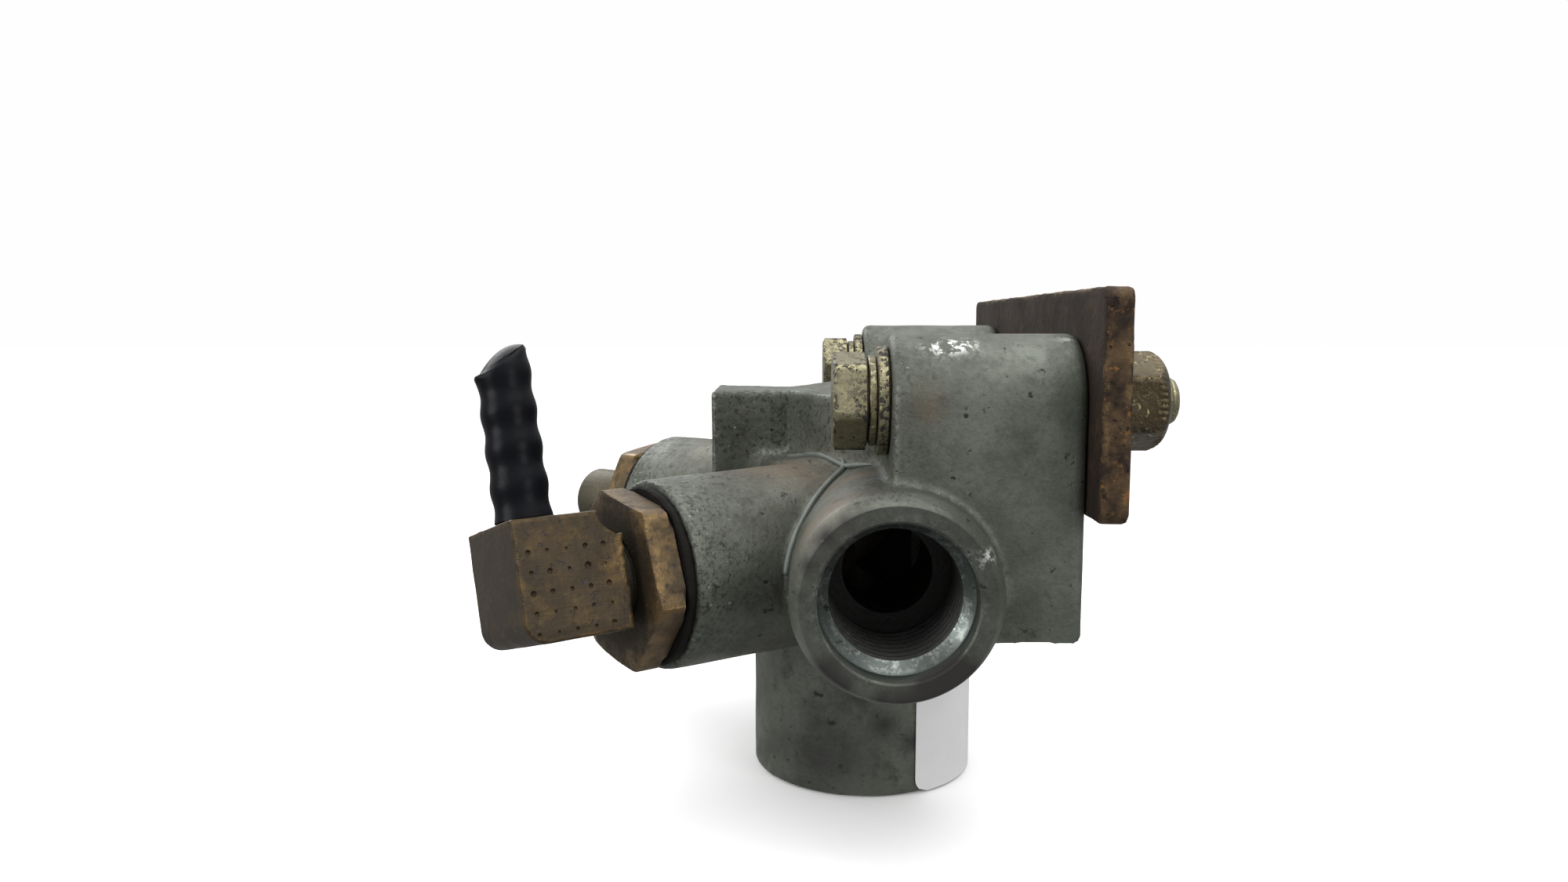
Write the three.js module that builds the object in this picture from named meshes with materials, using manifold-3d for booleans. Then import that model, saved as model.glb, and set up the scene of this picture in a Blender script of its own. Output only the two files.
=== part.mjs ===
// Diverter valve: a die-cast body with two facing threaded ports, a common port below, and two
// arms that each house a turning rotor on a brass spindle. Millimetres, +Z up.
// The origin is the centre of the mounting plate's outer face, and the valve lies on its -X side.
// Inside, places are set in valve coordinates: z = 0 on the lower boss's face, and y = 0 midway
// between the two ports and between the two bolting lobes.
import * as THREE from "three";
import { mergeVertices } from "three/addons/utils/BufferGeometryUtils.js";
import Module from "manifold-3d";

// Gaps between neighbouring pieces
const turningGap = 0.3;
const restingGap = 0.15;

// How far a cutting or joining shape runs past the face that it starts from
const past = 1;

// Sides of a round piece, by its size
const smallRound = 28;
const mediumRound = 40;
const largeRound = 48;

// Lower boss with the common port (G 1 female)
const bossX = -0.4;
const bossRadius = 19.1;
const bossEdge = 0.8;
const bossTop = 55.4;
const commonThreadRadius = 15.15;
const commonThreadDepth = 18;
const commonChamfer = 1.4;
const chamberRadius = 13.5;
const chamberDepth = 28;

// Port barrel with the two facing ports (G 1/2 female)
const axisHeight = 41.5;
const barrelX = 1.8;
const barrelRadius = 14.9;
const portReach = 52;
const rimRadius = 13.7;
const rimTaper = 3;
const recessRadius = 11.05;
const recessDepth = 4.05;
const coneDepth = 1.3;
const threadRadius = 9.4;
const threadDepth = 19;
const runOutRadius = 10.4;
const runOutWidth = 2.4;
const passageRadius = 6.9;

// Arms, each on its own axis at the ports' height. An axis starts on x = 0 at rootY and leans
// towards its own port's side. The bore for the rotor starts boreStart along it.
const armAngle = THREE.MathUtils.degToRad(36);
const frontArm = { end: "front", side: -1, rootY: -10.5, length: 41.5, boreStart: -5 };
const rearArm = { end: "rear", side: 1, rootY: -3.8, length: 45.9, boreStart: 8 };
const armRootRadius = 14.8;
const armEndRadius = 14.2;
const armEdge = 0.7;
const rotorBoreRadius = 8;
const dropRadius = 4.2;
const dropShare = 0.75;
const frontPassageEnd = -12;
const rearPassageRadius = 5;

// Spine between the arms and the web between the bolting lobes
const spineTop = 67;
const spineBottom = 31;
const spineLeft = -26.5;
const spineHalfWidth = 8.3;
const neckX = -13.5;
const neckHalfWidth = 4.4;
const flareX = -6.5;
const flareHalfWidth = 17.4;
const webRight = 14;
const spineEdge = 0.8;

// Bolting lobes
const lobeLeft = 1.3;
const lobeRight = 28.3;
const lobeY = 35;
const lobeRadius = 9.8;
const lobeBottom = 34;
const lobeEdge = 1.2;
const boltHeight = 67.6;

// Gland nut, gasket, thrust washer and spindle
const glandAcrossFlats = 24;
const glandHexThickness = 4.6;
const glandThreadRadius = 10;
const glandThreadLength = 11;
const thrustShoulder = 1.6;
const glandChamfer = 0.9;
const hexCrownInset = 0.3;
const hexCornerRoom = 0.5;
const gasketThickness = 1.2;
const gasketRadius = 13.2;
const thrustThickness = 1.2;
const collarThickness = 2.6;
const neckStep = 0.35;
const grooveDepth = 1.7;
const sealWidth = 1.7;
const sealSpacing = 4.2;
const tangThickness = 4;
const tangHalfWidth = 5.5;
const tangLength = 4;
const driveSquare = 7;
const driveLength = 8.5;
const rearEndReach = 15.8;
const rearEndDome = 1.9;
const shutterLength = 13.5;
const shutterOffset = 1;

// Lever hub, rod and grip, on a line tilted about the arm's axis
const leverTilt = THREE.MathUtils.degToRad(17);
const hubStandOff = 2;
const hubDepth = 16;
const hubHalfWidth = 8.5;
const hubTop = 9.7;
const hubBottom = 7.3;
const hubCorner = 3.5;
const hubEdge = 0.5;
const rodRadius = 2.5;
const rodOffset = 2.6;
const rodInsert = 4.6;
const rodExposed = 20.5;
const gripRadius = 4.2;
const gripTopRadius = 3.9;
const gripLength = 25.5;
const gripRipplePitch = 5.4;
const gripRipple = 0.35;
const gripCut = 4.2;

// M8 fasteners and the mounting plate
const boltRadius = 4;
const boltAcrossFlats = 13;
const headThickness = 5.1;
const boltLength = 44.75;
const headChamfer = 0.6;
const tipChamfer = 0.8;
const washerRadius = 8;
const washerThickness = 1.6;
const springRadius = 6.6;
const springThickness = 1;
const springSlit = 1.2;
const springSlitAngle = THREE.MathUtils.degToRad(126);
const boltHoleRoom = 0.5;
const plateThickness = 4;
const plateFront = -51.4;
const plateRear = 62;
const plateHeight = 32;
const plateCentreZ = 67.2;
const plateTilt = THREE.MathUtils.degToRad(-0.9);
const plateCorner = 2;
const plateEdge = 0.3;
const nutThickness = 8.4;
const nutStraight = 3.9;
const nutCrownWall = 0.9;

// Blank label wrapped on the lower boss
const labelStart = THREE.MathUtils.degToRad(-64.5);
const labelEnd = THREE.MathUtils.degToRad(50);
const labelBottom = 0.2;
const labelTop = 26;
const labelThickness = 0.25;

// Sizes that follow from the ones above
// Places along an arm's axis are counted from its end face, outwards.
const glandFace = gasketThickness + 2 * restingGap;
const glandOuter = glandFace + glandHexThickness;
const glandTail = -glandThreadLength;
const thrustInner = glandTail - restingGap - thrustThickness;
const collarOuter = thrustInner - restingGap;
const collarInner = collarOuter - collarThickness;
const rotorOuter = collarInner - turningGap;
const rotorRadius = rotorBoreRadius - turningGap;
const glandBoreRadius = rotorBoreRadius - thrustShoulder;
const journalRadius = glandBoreRadius - turningGap;
const neckRadius = journalRadius - neckStep;
const grooveRadius = journalRadius - grooveDepth;
const rearEndRadius = journalRadius;
const sealMiddle = (glandTail + glandOuter) / 2;
const hubInner = glandOuter + hubStandOff;
const boltHoleRadius = boltRadius + boltHoleRoom;
const nutCrownRadius = boltRadius + nutCrownWall;
const plateInner = lobeRight + restingGap;
const plateOuter = plateInner + plateThickness;
const plateMiddleY = (plateFront + plateRear) / 2;

const finishes = {
    casting: { color: 0x7d8a83, roughness: 0.55, metalness: 0.7 },
    brass: { color: 0x7a6238, roughness: 0.45, metalness: 0.9 },
    stainless: { color: 0xb4b5b3, roughness: 0.35, metalness: 1 },
    zincPlated: { color: 0xb59c5c, roughness: 0.35, metalness: 0.9 },
    rustySteel: { color: 0x5f4a38, roughness: 0.65, metalness: 0.7 },
    rubber: { color: 0x16181c, roughness: 0.5, metalness: 0 },
    fibre: { color: 0x2a211b, roughness: 0.85, metalness: 0 },
    polymer: { color: 0xe6e2d8, roughness: 0.5, metalness: 0 },
    paper: { color: 0xd2d3d6, roughness: 0.6, metalness: 0 },
};

const wasm = await Module();
wasm.setup();

// Closed triangle list of a geometry: shared vertices merged, collapsed triangles left out,
// and faces turned outwards.
function closedTriangles(geometry, matrix) {
    const bare = geometry.clone();
    bare.deleteAttribute("normal");
    bare.deleteAttribute("uv");
    if (matrix) bare.applyMatrix4(matrix);
    const merged = mergeVertices(bare, 1e-4);
    const positions = merged.getAttribute("position").array;
    const index = merged.index.array;
    const kept = [];
    for (let i = 0; i < index.length; i += 3) {
        const [a, b, c] = [index[i], index[i + 1], index[i + 2]];
        if (a !== b && b !== c && c !== a) kept.push(a, b, c);
    }
    const corner = (i) => new THREE.Vector3().fromArray(positions, 3 * i);
    let volume = 0;
    for (let i = 0; i < kept.length; i += 3) {
        volume += corner(kept[i]).dot(corner(kept[i + 1]).cross(corner(kept[i + 2])));
    }
    if (volume < 0) kept.reverse();
    return { positions, index: kept };
}

function solid(geometry, matrix) {
    const { positions, index } = closedTriangles(geometry, matrix);
    return new wasm.Manifold(new wasm.Mesh({
        numProp: 3,
        vertProperties: Float32Array.from(positions),
        triVerts: Uint32Array.from(index),
    }));
}

function geometryOf(manifold) {
    const mesh = manifold.getMesh();
    const geometry = new THREE.BufferGeometry();
    const positions = Float32Array.from(mesh.vertProperties);
    geometry.setAttribute("position", new THREE.BufferAttribute(positions, 3));
    geometry.setIndex(new THREE.BufferAttribute(Uint32Array.from(mesh.triVerts), 1));
    geometry.computeVertexNormals();
    return geometry;
}

// Solid of revolution about Z. The profile is a list of [radius, height] points.
function turned(profile, segments = smallRound, close = false) {
    const points = profile.map(([radius, height]) => new THREE.Vector2(radius, height));
    if (close) points.push(points[0].clone());
    return new THREE.LatheGeometry(points, segments).rotateX(Math.PI / 2);
}

function rod(radius, from, to, segments = smallRound) {
    return turned([[0, from], [radius, from], [radius, to], [0, to]], segments);
}

function ring(inner, outer, from, to, segments = smallRound) {
    return turned([[inner, from], [outer, from], [outer, to], [inner, to]], segments, true);
}

function prism(shape, height, edge = 0) {
    return new THREE.ExtrudeGeometry(shape, {
        depth: height - 2 * edge,
        bevelEnabled: edge > 0,
        bevelThickness: edge,
        bevelSize: edge,
        bevelOffset: -edge,
        bevelSegments: 1,
        curveSegments: 8,
    }).translate(0, 0, edge);
}

function outline(points) {
    return new THREE.Shape(points.map(([x, y]) => new THREE.Vector2(x, y)));
}

function hexagon(acrossFlats, phase) {
    const radius = acrossFlats / Math.sqrt(3);
    const corners = [];
    for (let i = 0; i < 6; i += 1) {
        const angle = phase + i * Math.PI / 3;
        corners.push([radius * Math.cos(angle), radius * Math.sin(angle)]);
    }
    return outline(corners);
}

// Hexagonal block from `from` to `to` along Z, with its corners turned off at the `to` end.
function chamferedHex(acrossFlats, phase, from, to, chamfer) {
    const corner = acrossFlats / Math.sqrt(3) + hexCornerRoom;
    const crown = acrossFlats / 2 - hexCrownInset;
    const profile = [[0, from], [corner, from], [corner, to - chamfer], [crown, to], [0, to]];
    const blank = solid(prism(hexagon(acrossFlats, phase), to - from).translate(0, 0, from));
    return blank.intersect(solid(turned(profile, largeRound)));
}

function piece(parent, name, geometry, finish) {
    const mesh = new THREE.Mesh(geometry, new THREE.MeshStandardMaterial(finishes[finish]));
    mesh.name = name;
    parent.add(mesh);
    return mesh;
}

function along(zAxis, xAxis, position) {
    const yAxis = new THREE.Vector3().crossVectors(zAxis, xAxis);
    return new THREE.Matrix4().makeBasis(xAxis, yAxis, zAxis).setPosition(position);
}

const up = new THREE.Vector3(0, 0, 1);

// Point on an arm's axis, at a distance from its root.
function armPoint(arm, distance) {
    return armDirection(arm).multiplyScalar(distance).add(new THREE.Vector3(0, arm.rootY, axisHeight));
}

function armDirection(arm) {
    return new THREE.Vector3(-Math.cos(armAngle), arm.side * Math.sin(armAngle), 0);
}

// An arm's frame: Z outwards along the arm from its end face, and X up.
function armFrame(arm) {
    return along(armDirection(arm), up, armPoint(arm, arm.length));
}

// A port's frame: Z outwards, with z = 0 on the casting's mid-plane.
function portFrame(side) {
    return along(new THREE.Vector3(0, side, 0), up, new THREE.Vector3(barrelX, 0, axisHeight));
}

// A bolt's frame: Z from the lobe's left face towards the head.
function boltFrame(side) {
    const start = new THREE.Vector3(lobeLeft, side * lobeY, boltHeight);
    return along(new THREE.Vector3(-1, 0, 0), new THREE.Vector3(0, -1, 0), start);
}

function framedGroup(parent, matrix) {
    const group = new THREE.Group();
    group.applyMatrix4(matrix);
    parent.add(group);
    return group;
}

function bodyOutside() {
    const boss = turned([
        [0, 0],
        [bossRadius - bossEdge, 0],
        [bossRadius, bossEdge],
        [bossRadius, bossTop],
        [0, bossTop],
    ], largeRound).translate(bossX, 0, 0);
    const barrel = turned([
        [0, -portReach],
        [rimRadius, -portReach],
        [barrelRadius, rimTaper - portReach],
        [barrelRadius, portReach - rimTaper],
        [rimRadius, portReach],
        [0, portReach],
    ], largeRound);
    let body = solid(boss).add(solid(barrel, portFrame(1)));
    for (const arm of [frontArm, rearArm]) {
        const tube = turned([
            [0, -arm.length],
            [armRootRadius, -arm.length],
            [armEndRadius, -armEdge],
            [armEndRadius - armEdge, 0],
            [0, 0],
        ], mediumRound);
        body = body.add(solid(tube, armFrame(arm)));
        body = body.add(solid(lobe(arm.side)));
    }
    return body.add(solid(spine()));
}

// The spine narrows to a neck behind the arms' roots, then flares into the web between the lobes.
function spine() {
    const innerY = lobeY - lobeRadius + lobeEdge;
    const half = [
        [spineLeft, spineHalfWidth],
        [neckX, neckHalfWidth],
        [flareX, flareHalfWidth],
        [lobeLeft + lobeEdge, innerY],
        [webRight, innerY],
    ];
    const mirrored = half.map(([x, y]) => [x, -y]).reverse();
    const height = spineTop - spineBottom;
    return prism(outline([...half, ...mirrored]), height, spineEdge).translate(0, 0, spineBottom);
}

// A lobe is a slab along X with a round top about its bolt.
function lobe(side) {
    const shape = new THREE.Shape();
    shape.moveTo(-lobeRadius, lobeBottom - boltHeight);
    shape.lineTo(lobeRadius, lobeBottom - boltHeight);
    shape.absarc(0, 0, lobeRadius, 0, Math.PI, false);
    const slab = prism(shape, lobeRight - lobeLeft, lobeEdge);
    const acrossX = along(new THREE.Vector3(1, 0, 0), new THREE.Vector3(0, 1, 0),
        new THREE.Vector3(lobeLeft, side * lobeY, boltHeight));
    return slab.applyMatrix4(acrossX);
}

// A port's thread, with its recess and cone outside and its run-out groove inside.
function portCut() {
    const cone = recessDepth + coneDepth;
    const shoulder = threadDepth + runOutWidth;
    return turned([
        [0, portReach - shoulder],
        [runOutRadius, portReach - shoulder],
        [runOutRadius, portReach - threadDepth],
        [threadRadius, portReach - threadDepth],
        [threadRadius, portReach - cone],
        [recessRadius, portReach - recessDepth],
        [recessRadius, portReach + past],
        [0, portReach + past],
    ], largeRound);
}

function commonPortCut() {
    return turned([
        [0, -past],
        [commonThreadRadius + commonChamfer + past, -past],
        [commonThreadRadius, commonChamfer],
        [commonThreadRadius, commonThreadDepth],
        [chamberRadius, commonThreadDepth],
        [chamberRadius, chamberDepth],
        [0, chamberDepth],
    ], largeRound).translate(bossX, 0, 0);
}

function armCut(arm) {
    const start = arm.boreStart - arm.length;
    const threadEnd = glandTail - past;
    return turned([
        [0, start],
        [rotorBoreRadius, start],
        [rotorBoreRadius, threadEnd],
        [glandThreadRadius, threadEnd],
        [glandThreadRadius, past],
        [0, past],
    ], mediumRound);
}

// Drilling between a port and its arm's rotor bore: straight in front, slanted at the rear.
function frontPassage() {
    return rod(passageRadius, -frontPassageEnd, portReach - threadDepth).applyMatrix4(portFrame(-1));
}

function rearPassage() {
    const mouth = new THREE.Vector3(barrelX, portReach - threadDepth - runOutWidth + past, axisHeight);
    const target = armPoint(rearArm, rearArm.boreStart + shutterLength / 2);
    const direction = mouth.clone().sub(target);
    const length = direction.length();
    return rod(rearPassageRadius, 0, length).applyMatrix4(along(direction.normalize(), up, target));
}

// Drilling from the common chamber up into the rotor bore, under the middle of the shutter. It
// stands at dropShare of the way from the boss's axis to there, so it starts inside the chamber.
function dropPassage(arm) {
    const top = armPoint(arm, arm.boreStart + shutterLength / 2);
    const place = [bossX + dropShare * (top.x - bossX), dropShare * top.y];
    return rod(dropRadius, chamberDepth - past, axisHeight - rotorBoreRadius / 2).translate(...place, 0);
}

function castBody() {
    let body = bodyOutside().subtract(solid(commonPortCut()));
    for (const arm of [frontArm, rearArm]) {
        const boltHole = rod(boltHoleRadius, lobeLeft - lobeRight - past, past);
        body = body.subtract(solid(portCut(), portFrame(arm.side)));
        body = body.subtract(solid(armCut(arm), armFrame(arm)));
        body = body.subtract(solid(dropPassage(arm)));
        body = body.subtract(solid(boltHole, boltFrame(arm.side)));
    }
    return geometryOf(body.subtract(solid(frontPassage())).subtract(solid(rearPassage())));
}

function glandNut(phase) {
    const hex = chamferedHex(glandAcrossFlats, phase, glandFace, glandOuter, glandChamfer);
    const thread = rod(glandThreadRadius - turningGap, glandTail, glandFace + past);
    const bore = rod(glandBoreRadius, glandTail - past, glandOuter + past);
    return geometryOf(hex.add(solid(thread)).subtract(solid(bore)));
}

function gasket() {
    return ring(glandThreadRadius, gasketRadius, restingGap, glandFace - restingGap, mediumRound);
}

function thrustWasher() {
    return ring(glandBoreRadius, rotorRadius, thrustInner, glandTail - restingGap);
}

// Places of the two seals along the spindle, between the gland nut's ends.
function sealPlaces() {
    return [sealMiddle - sealSpacing / 2, sealMiddle + sealSpacing / 2];
}

// Turned profile from the collar to the gland nut's outer face, with a groove for each seal.
function spindleStem() {
    const profile = [[0, collarInner], [rotorRadius, collarInner]];
    profile.push([rotorRadius, collarOuter], [journalRadius, collarOuter]);
    const grooveHalf = sealWidth / 2 + restingGap;
    for (const place of sealPlaces()) {
        profile.push([journalRadius, place - grooveHalf], [grooveRadius, place - grooveHalf]);
        profile.push([grooveRadius, place + grooveHalf], [journalRadius, place + grooveHalf]);
    }
    return profile;
}

function tang() {
    const length = tangLength + past;
    return solid(new THREE.BoxGeometry(2 * tangHalfWidth, tangThickness, length)
        .translate(0, 0, collarInner - tangLength + length / 2));
}

function leverSpindle() {
    const shoulder = hubInner - restingGap;
    const profile = spindleStem();
    profile.push([journalRadius, glandOuter], [neckRadius, glandOuter]);
    profile.push([neckRadius, shoulder], [0, shoulder]);
    const drive = new THREE.BoxGeometry(driveSquare, driveSquare, driveLength + past)
        .translate(0, 0, shoulder + (driveLength - past) / 2)
        .rotateZ(leverTilt);
    return solid(turned(profile)).add(tang()).add(solid(drive));
}

function plainSpindle() {
    const domeStart = glandOuter + rearEndReach - rearEndDome;
    const domeSteps = 4;
    const profile = spindleStem();
    profile.push([journalRadius, glandOuter], [rearEndRadius, glandOuter], [rearEndRadius, domeStart]);
    for (let i = 1; i < domeSteps; i += 1) {
        const turn = Math.PI / 2 * i / domeSteps;
        profile.push([rearEndRadius * Math.cos(turn), domeStart + rearEndDome * Math.sin(turn)]);
    }
    profile.push([0, domeStart + rearEndDome]);
    return solid(turned(profile)).add(tang());
}

function seal(place) {
    const inner = grooveRadius + restingGap;
    const outer = glandBoreRadius - restingGap;
    const middle = (inner + outer) / 2;
    const half = (outer - inner) / 2;
    const section = [];
    for (let i = 0; i < 6; i += 1) {
        const angle = i * Math.PI / 3;
        section.push([middle + half * Math.cos(angle), place + sealWidth / 2 * Math.sin(angle)]);
    }
    return turned(section, smallRound, true);
}

// The rotor's inner end is a half-round shutter. It stands clear of the port and the drop passage
// at rest, and covers the port after a quarter turn. The slot at its outer end takes the spindle's tang.
function rotor(arm) {
    const inner = arm.boreStart - arm.length + turningGap;
    const blank = solid(rod(rotorRadius, inner, rotorOuter));
    const reach = 2 * rotorRadius;
    const cut = new THREE.BoxGeometry(reach, 2 * reach, shutterLength + past)
        .translate(shutterOffset - reach / 2, 0, inner + (shutterLength - past) / 2)
        .rotateZ(-arm.side * Math.PI / 4);
    const slotDepth = rotorOuter - collarInner + tangLength + turningGap;
    const slot = new THREE.BoxGeometry(2 * reach, tangThickness + 2 * turningGap, slotDepth + past)
        .translate(0, 0, rotorOuter - (slotDepth - past) / 2);
    return geometryOf(blank.subtract(solid(cut)).subtract(solid(slot)));
}

// The hub's block lies along Z outside the gland nut, with X towards the rod.
function leverHub() {
    const hubOuter = hubInner + hubDepth;
    const shape = new THREE.Shape();
    shape.moveTo(hubTop, hubInner);
    shape.lineTo(hubTop, hubOuter);
    shape.lineTo(hubCorner - hubBottom, hubOuter);
    shape.absarc(hubCorner - hubBottom, hubOuter - hubCorner, hubCorner, Math.PI / 2, Math.PI, false);
    shape.lineTo(-hubBottom, hubInner);
    const near = new THREE.Vector3(0, hubHalfWidth, 0);
    const sideways = along(new THREE.Vector3(0, -1, 0), new THREE.Vector3(1, 0, 0), near);
    const block = solid(prism(shape, 2 * hubHalfWidth, hubEdge).applyMatrix4(sideways));
    const socketDepth = driveLength + turningGap;
    const socketSize = driveSquare + 2 * turningGap;
    const socket = new THREE.BoxGeometry(socketSize, socketSize, socketDepth + past)
        .translate(0, 0, hubInner + (socketDepth - past) / 2);
    const rodHole = rod(rodRadius + turningGap, hubTop - rodInsert - turningGap, hubTop + past)
        .applyMatrix4(leverLine());
    return geometryOf(block.subtract(solid(socket)).subtract(solid(rodHole)));
}

// Takes +Z to the lever's line, which runs along +X through the middle of the hub.
function leverLine() {
    const middle = new THREE.Vector3(0, 0, hubInner + hubDepth / 2 + rodOffset);
    return along(new THREE.Vector3(1, 0, 0), new THREE.Vector3(0, 1, 0), middle);
}

function leverRod() {
    return rod(rodRadius, hubTop - rodInsert, hubTop + rodExposed).applyMatrix4(leverLine());
}

// Soft sleeve with shallow ripples, closed above the rod and cut off at a slant.
function leverGrip() {
    const start = hubTop + turningGap;
    const steps = 20;
    const profile = [[rodRadius + turningGap, start]];
    for (let i = 0; i <= steps; i += 1) {
        const travel = gripLength * i / steps;
        const taper = gripRadius + (gripTopRadius - gripRadius) * i / steps;
        const ripple = gripRipple * (0.5 - 0.5 * Math.cos(2 * Math.PI * travel / gripRipplePitch));
        profile.push([taper - ripple, start + travel]);
    }
    const holeEnd = hubTop + rodExposed + turningGap;
    profile.push([0, start + gripLength], [0, holeEnd], [rodRadius + turningGap, holeEnd]);
    const sleeve = solid(turned(profile, smallRound, true));
    const reach = 4 * gripRadius;
    const slant = new THREE.BoxGeometry(reach, reach, reach)
        .translate(0, 0, reach / 2)
        .rotateX(-Math.atan2(gripCut, 2 * gripTopRadius))
        .translate(0, 0, start + gripLength - gripCut / 2);
    return geometryOf(sleeve.subtract(solid(slant)).transform(leverLine().elements));
}

function bolt(phase) {
    const headStart = 2 * restingGap + washerThickness + springThickness + restingGap;
    const head = chamferedHex(boltAcrossFlats, phase, headStart, headStart + headThickness, headChamfer);
    const tip = headStart - boltLength;
    const shank = turned([
        [0, tip],
        [boltRadius - tipChamfer, tip],
        [boltRadius, tip + tipChamfer],
        [boltRadius, headStart + past],
        [0, headStart + past],
    ]);
    return geometryOf(head.add(solid(shank)));
}

function flatWasher() {
    return ring(boltHoleRadius, washerRadius, restingGap, restingGap + washerThickness);
}

function springWasher() {
    const start = 2 * restingGap + washerThickness;
    const whole = solid(ring(boltRadius + turningGap, springRadius, start, start + springThickness));
    const slit = new THREE.BoxGeometry(2 * springRadius, springSlit, 3 * springThickness)
        .translate(springRadius, 0, start + springThickness / 2)
        .rotateZ(springSlitAngle);
    return geometryOf(whole.subtract(solid(slit)));
}

// All-metal lock nut: a hexagon whose outer half is drawn into a dome that grips the thread.
function lockNut(phase) {
    const bearing = plateOuter - lobeLeft + restingGap;
    const corner = boltAcrossFlats / Math.sqrt(3) + hexCornerRoom;
    const profile = [[0, bearing - past], [corner, bearing - past]];
    const steps = 4;
    for (let i = 0; i <= steps; i += 1) {
        const turn = Math.PI / 2 * i / steps;
        const radius = nutCrownRadius + (corner - nutCrownRadius) * Math.cos(turn);
        profile.push([radius, bearing + nutStraight + (nutThickness - nutStraight) * Math.sin(turn)]);
    }
    profile.push([0, bearing + nutThickness]);
    const blank = solid(prism(hexagon(boltAcrossFlats, -phase), nutThickness).translate(0, 0, bearing));
    const bore = rod(boltRadius + turningGap, bearing - past, bearing + nutThickness + past);
    const nut = blank.intersect(solid(turned(profile))).subtract(solid(bore));
    return geometryOf(nut).rotateX(Math.PI);
}

function mountingPlate() {
    const halfLength = (plateRear - plateFront) / 2;
    const halfHeight = plateHeight / 2;
    const quarter = Math.PI / 2;
    const shape = new THREE.Shape();
    [[1, -1], [1, 1], [-1, 1], [-1, -1]].forEach(([sideX, sideY], i) => {
        const centreX = sideX * (halfLength - plateCorner);
        const centreY = sideY * (halfHeight - plateCorner);
        shape.absarc(centreX, centreY, plateCorner, (i - 1) * quarter, i * quarter, false);
    });
    const middle = new THREE.Vector3(plateInner, plateMiddleY, plateCentreZ);
    const place = along(new THREE.Vector3(1, 0, 0), new THREE.Vector3(0, 1, 0), middle);
    let plate = solid(prism(shape, plateThickness, plateEdge).rotateZ(plateTilt), place);
    for (const side of [-1, 1]) {
        const hole = rod(boltHoleRadius, lobeLeft - plateOuter - past, past);
        plate = plate.subtract(solid(hole, boltFrame(side)));
    }
    return geometryOf(plate);
}

function label() {
    const inner = bossRadius + restingGap;
    const outer = inner + labelThickness;
    const shape = new THREE.Shape();
    shape.absarc(0, 0, outer, labelStart, labelEnd, false);
    shape.absarc(0, 0, inner, labelEnd, labelStart, true);
    const depth = labelTop - labelBottom;
    const sheet = new THREE.ExtrudeGeometry(shape, { depth, bevelEnabled: false, curveSegments: 20 });
    return sheet.translate(bossX, 0, labelBottom);
}

function addArm(valve, arm, nutPhase) {
    const stack = framedGroup(valve, armFrame(arm));
    piece(stack, `${arm.end}_gland_nut`, glandNut(nutPhase), "brass");
    piece(stack, `${arm.end}_gland_gasket`, gasket(), "fibre");
    piece(stack, `${arm.end}_thrust_washer`, thrustWasher(), "polymer");
    piece(stack, `${arm.end}_rotor`, rotor(arm), "brass");
    sealPlaces().forEach((place, i) => {
        piece(stack, `${arm.end}_spindle_o_ring_${i + 1}`, seal(place), "rubber");
    });
    return stack;
}

function addBolt(valve, { side, end }, headPhase, nutPhase) {
    const stack = framedGroup(valve, boltFrame(side));
    piece(stack, `${end}_bolt`, bolt(headPhase), "zincPlated");
    piece(stack, `${end}_flat_washer`, flatWasher(), "zincPlated");
    piece(stack, `${end}_spring_washer`, springWasher(), "zincPlated");
    piece(stack, `${end}_lock_nut`, lockNut(nutPhase), "zincPlated");
}

const degrees = THREE.MathUtils.degToRad;
const group = new THREE.Group();
const valve = new THREE.Group();
valve.position.set(-plateOuter, -plateMiddleY, -plateCentreZ);
group.add(valve);

piece(valve, "valve_body", castBody(), "casting");
piece(valve, "mounting_plate", mountingPlate(), "rustySteel");
piece(valve, "label", label(), "paper");
addBolt(valve, frontArm, degrees(46.5), degrees(30));
addBolt(valve, rearArm, degrees(20), degrees(8));

const frontStack = addArm(valve, frontArm, degrees(22.6));
piece(frontStack, "front_spindle", geometryOf(leverSpindle()), "brass");
const lever = framedGroup(frontStack, new THREE.Matrix4().makeRotationZ(leverTilt));
piece(lever, "lever_hub", leverHub(), "brass");
piece(lever, "lever_rod", leverRod(), "stainless");
piece(lever, "lever_grip", leverGrip(), "rubber");

const rearStack = addArm(valve, rearArm, degrees(24));
piece(rearStack, "rear_spindle", geometryOf(plainSpindle()), "brass");

export default group;
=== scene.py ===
import math

import bpy
import numpy as np
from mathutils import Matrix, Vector


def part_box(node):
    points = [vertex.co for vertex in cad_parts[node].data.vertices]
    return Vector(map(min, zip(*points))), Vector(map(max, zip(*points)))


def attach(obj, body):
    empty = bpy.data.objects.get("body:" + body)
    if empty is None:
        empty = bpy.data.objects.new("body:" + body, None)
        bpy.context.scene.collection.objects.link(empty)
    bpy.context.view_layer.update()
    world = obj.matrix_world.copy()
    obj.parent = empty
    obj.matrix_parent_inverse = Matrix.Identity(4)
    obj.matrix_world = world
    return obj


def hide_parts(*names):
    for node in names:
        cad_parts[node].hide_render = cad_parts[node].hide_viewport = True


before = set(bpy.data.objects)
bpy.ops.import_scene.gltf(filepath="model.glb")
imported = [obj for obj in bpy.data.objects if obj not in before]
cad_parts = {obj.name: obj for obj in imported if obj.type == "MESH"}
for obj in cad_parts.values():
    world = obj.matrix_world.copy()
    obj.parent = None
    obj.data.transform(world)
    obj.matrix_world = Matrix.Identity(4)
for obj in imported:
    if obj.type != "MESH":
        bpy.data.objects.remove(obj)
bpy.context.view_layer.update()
print("frame loaded:", len(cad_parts), "nodes")

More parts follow.
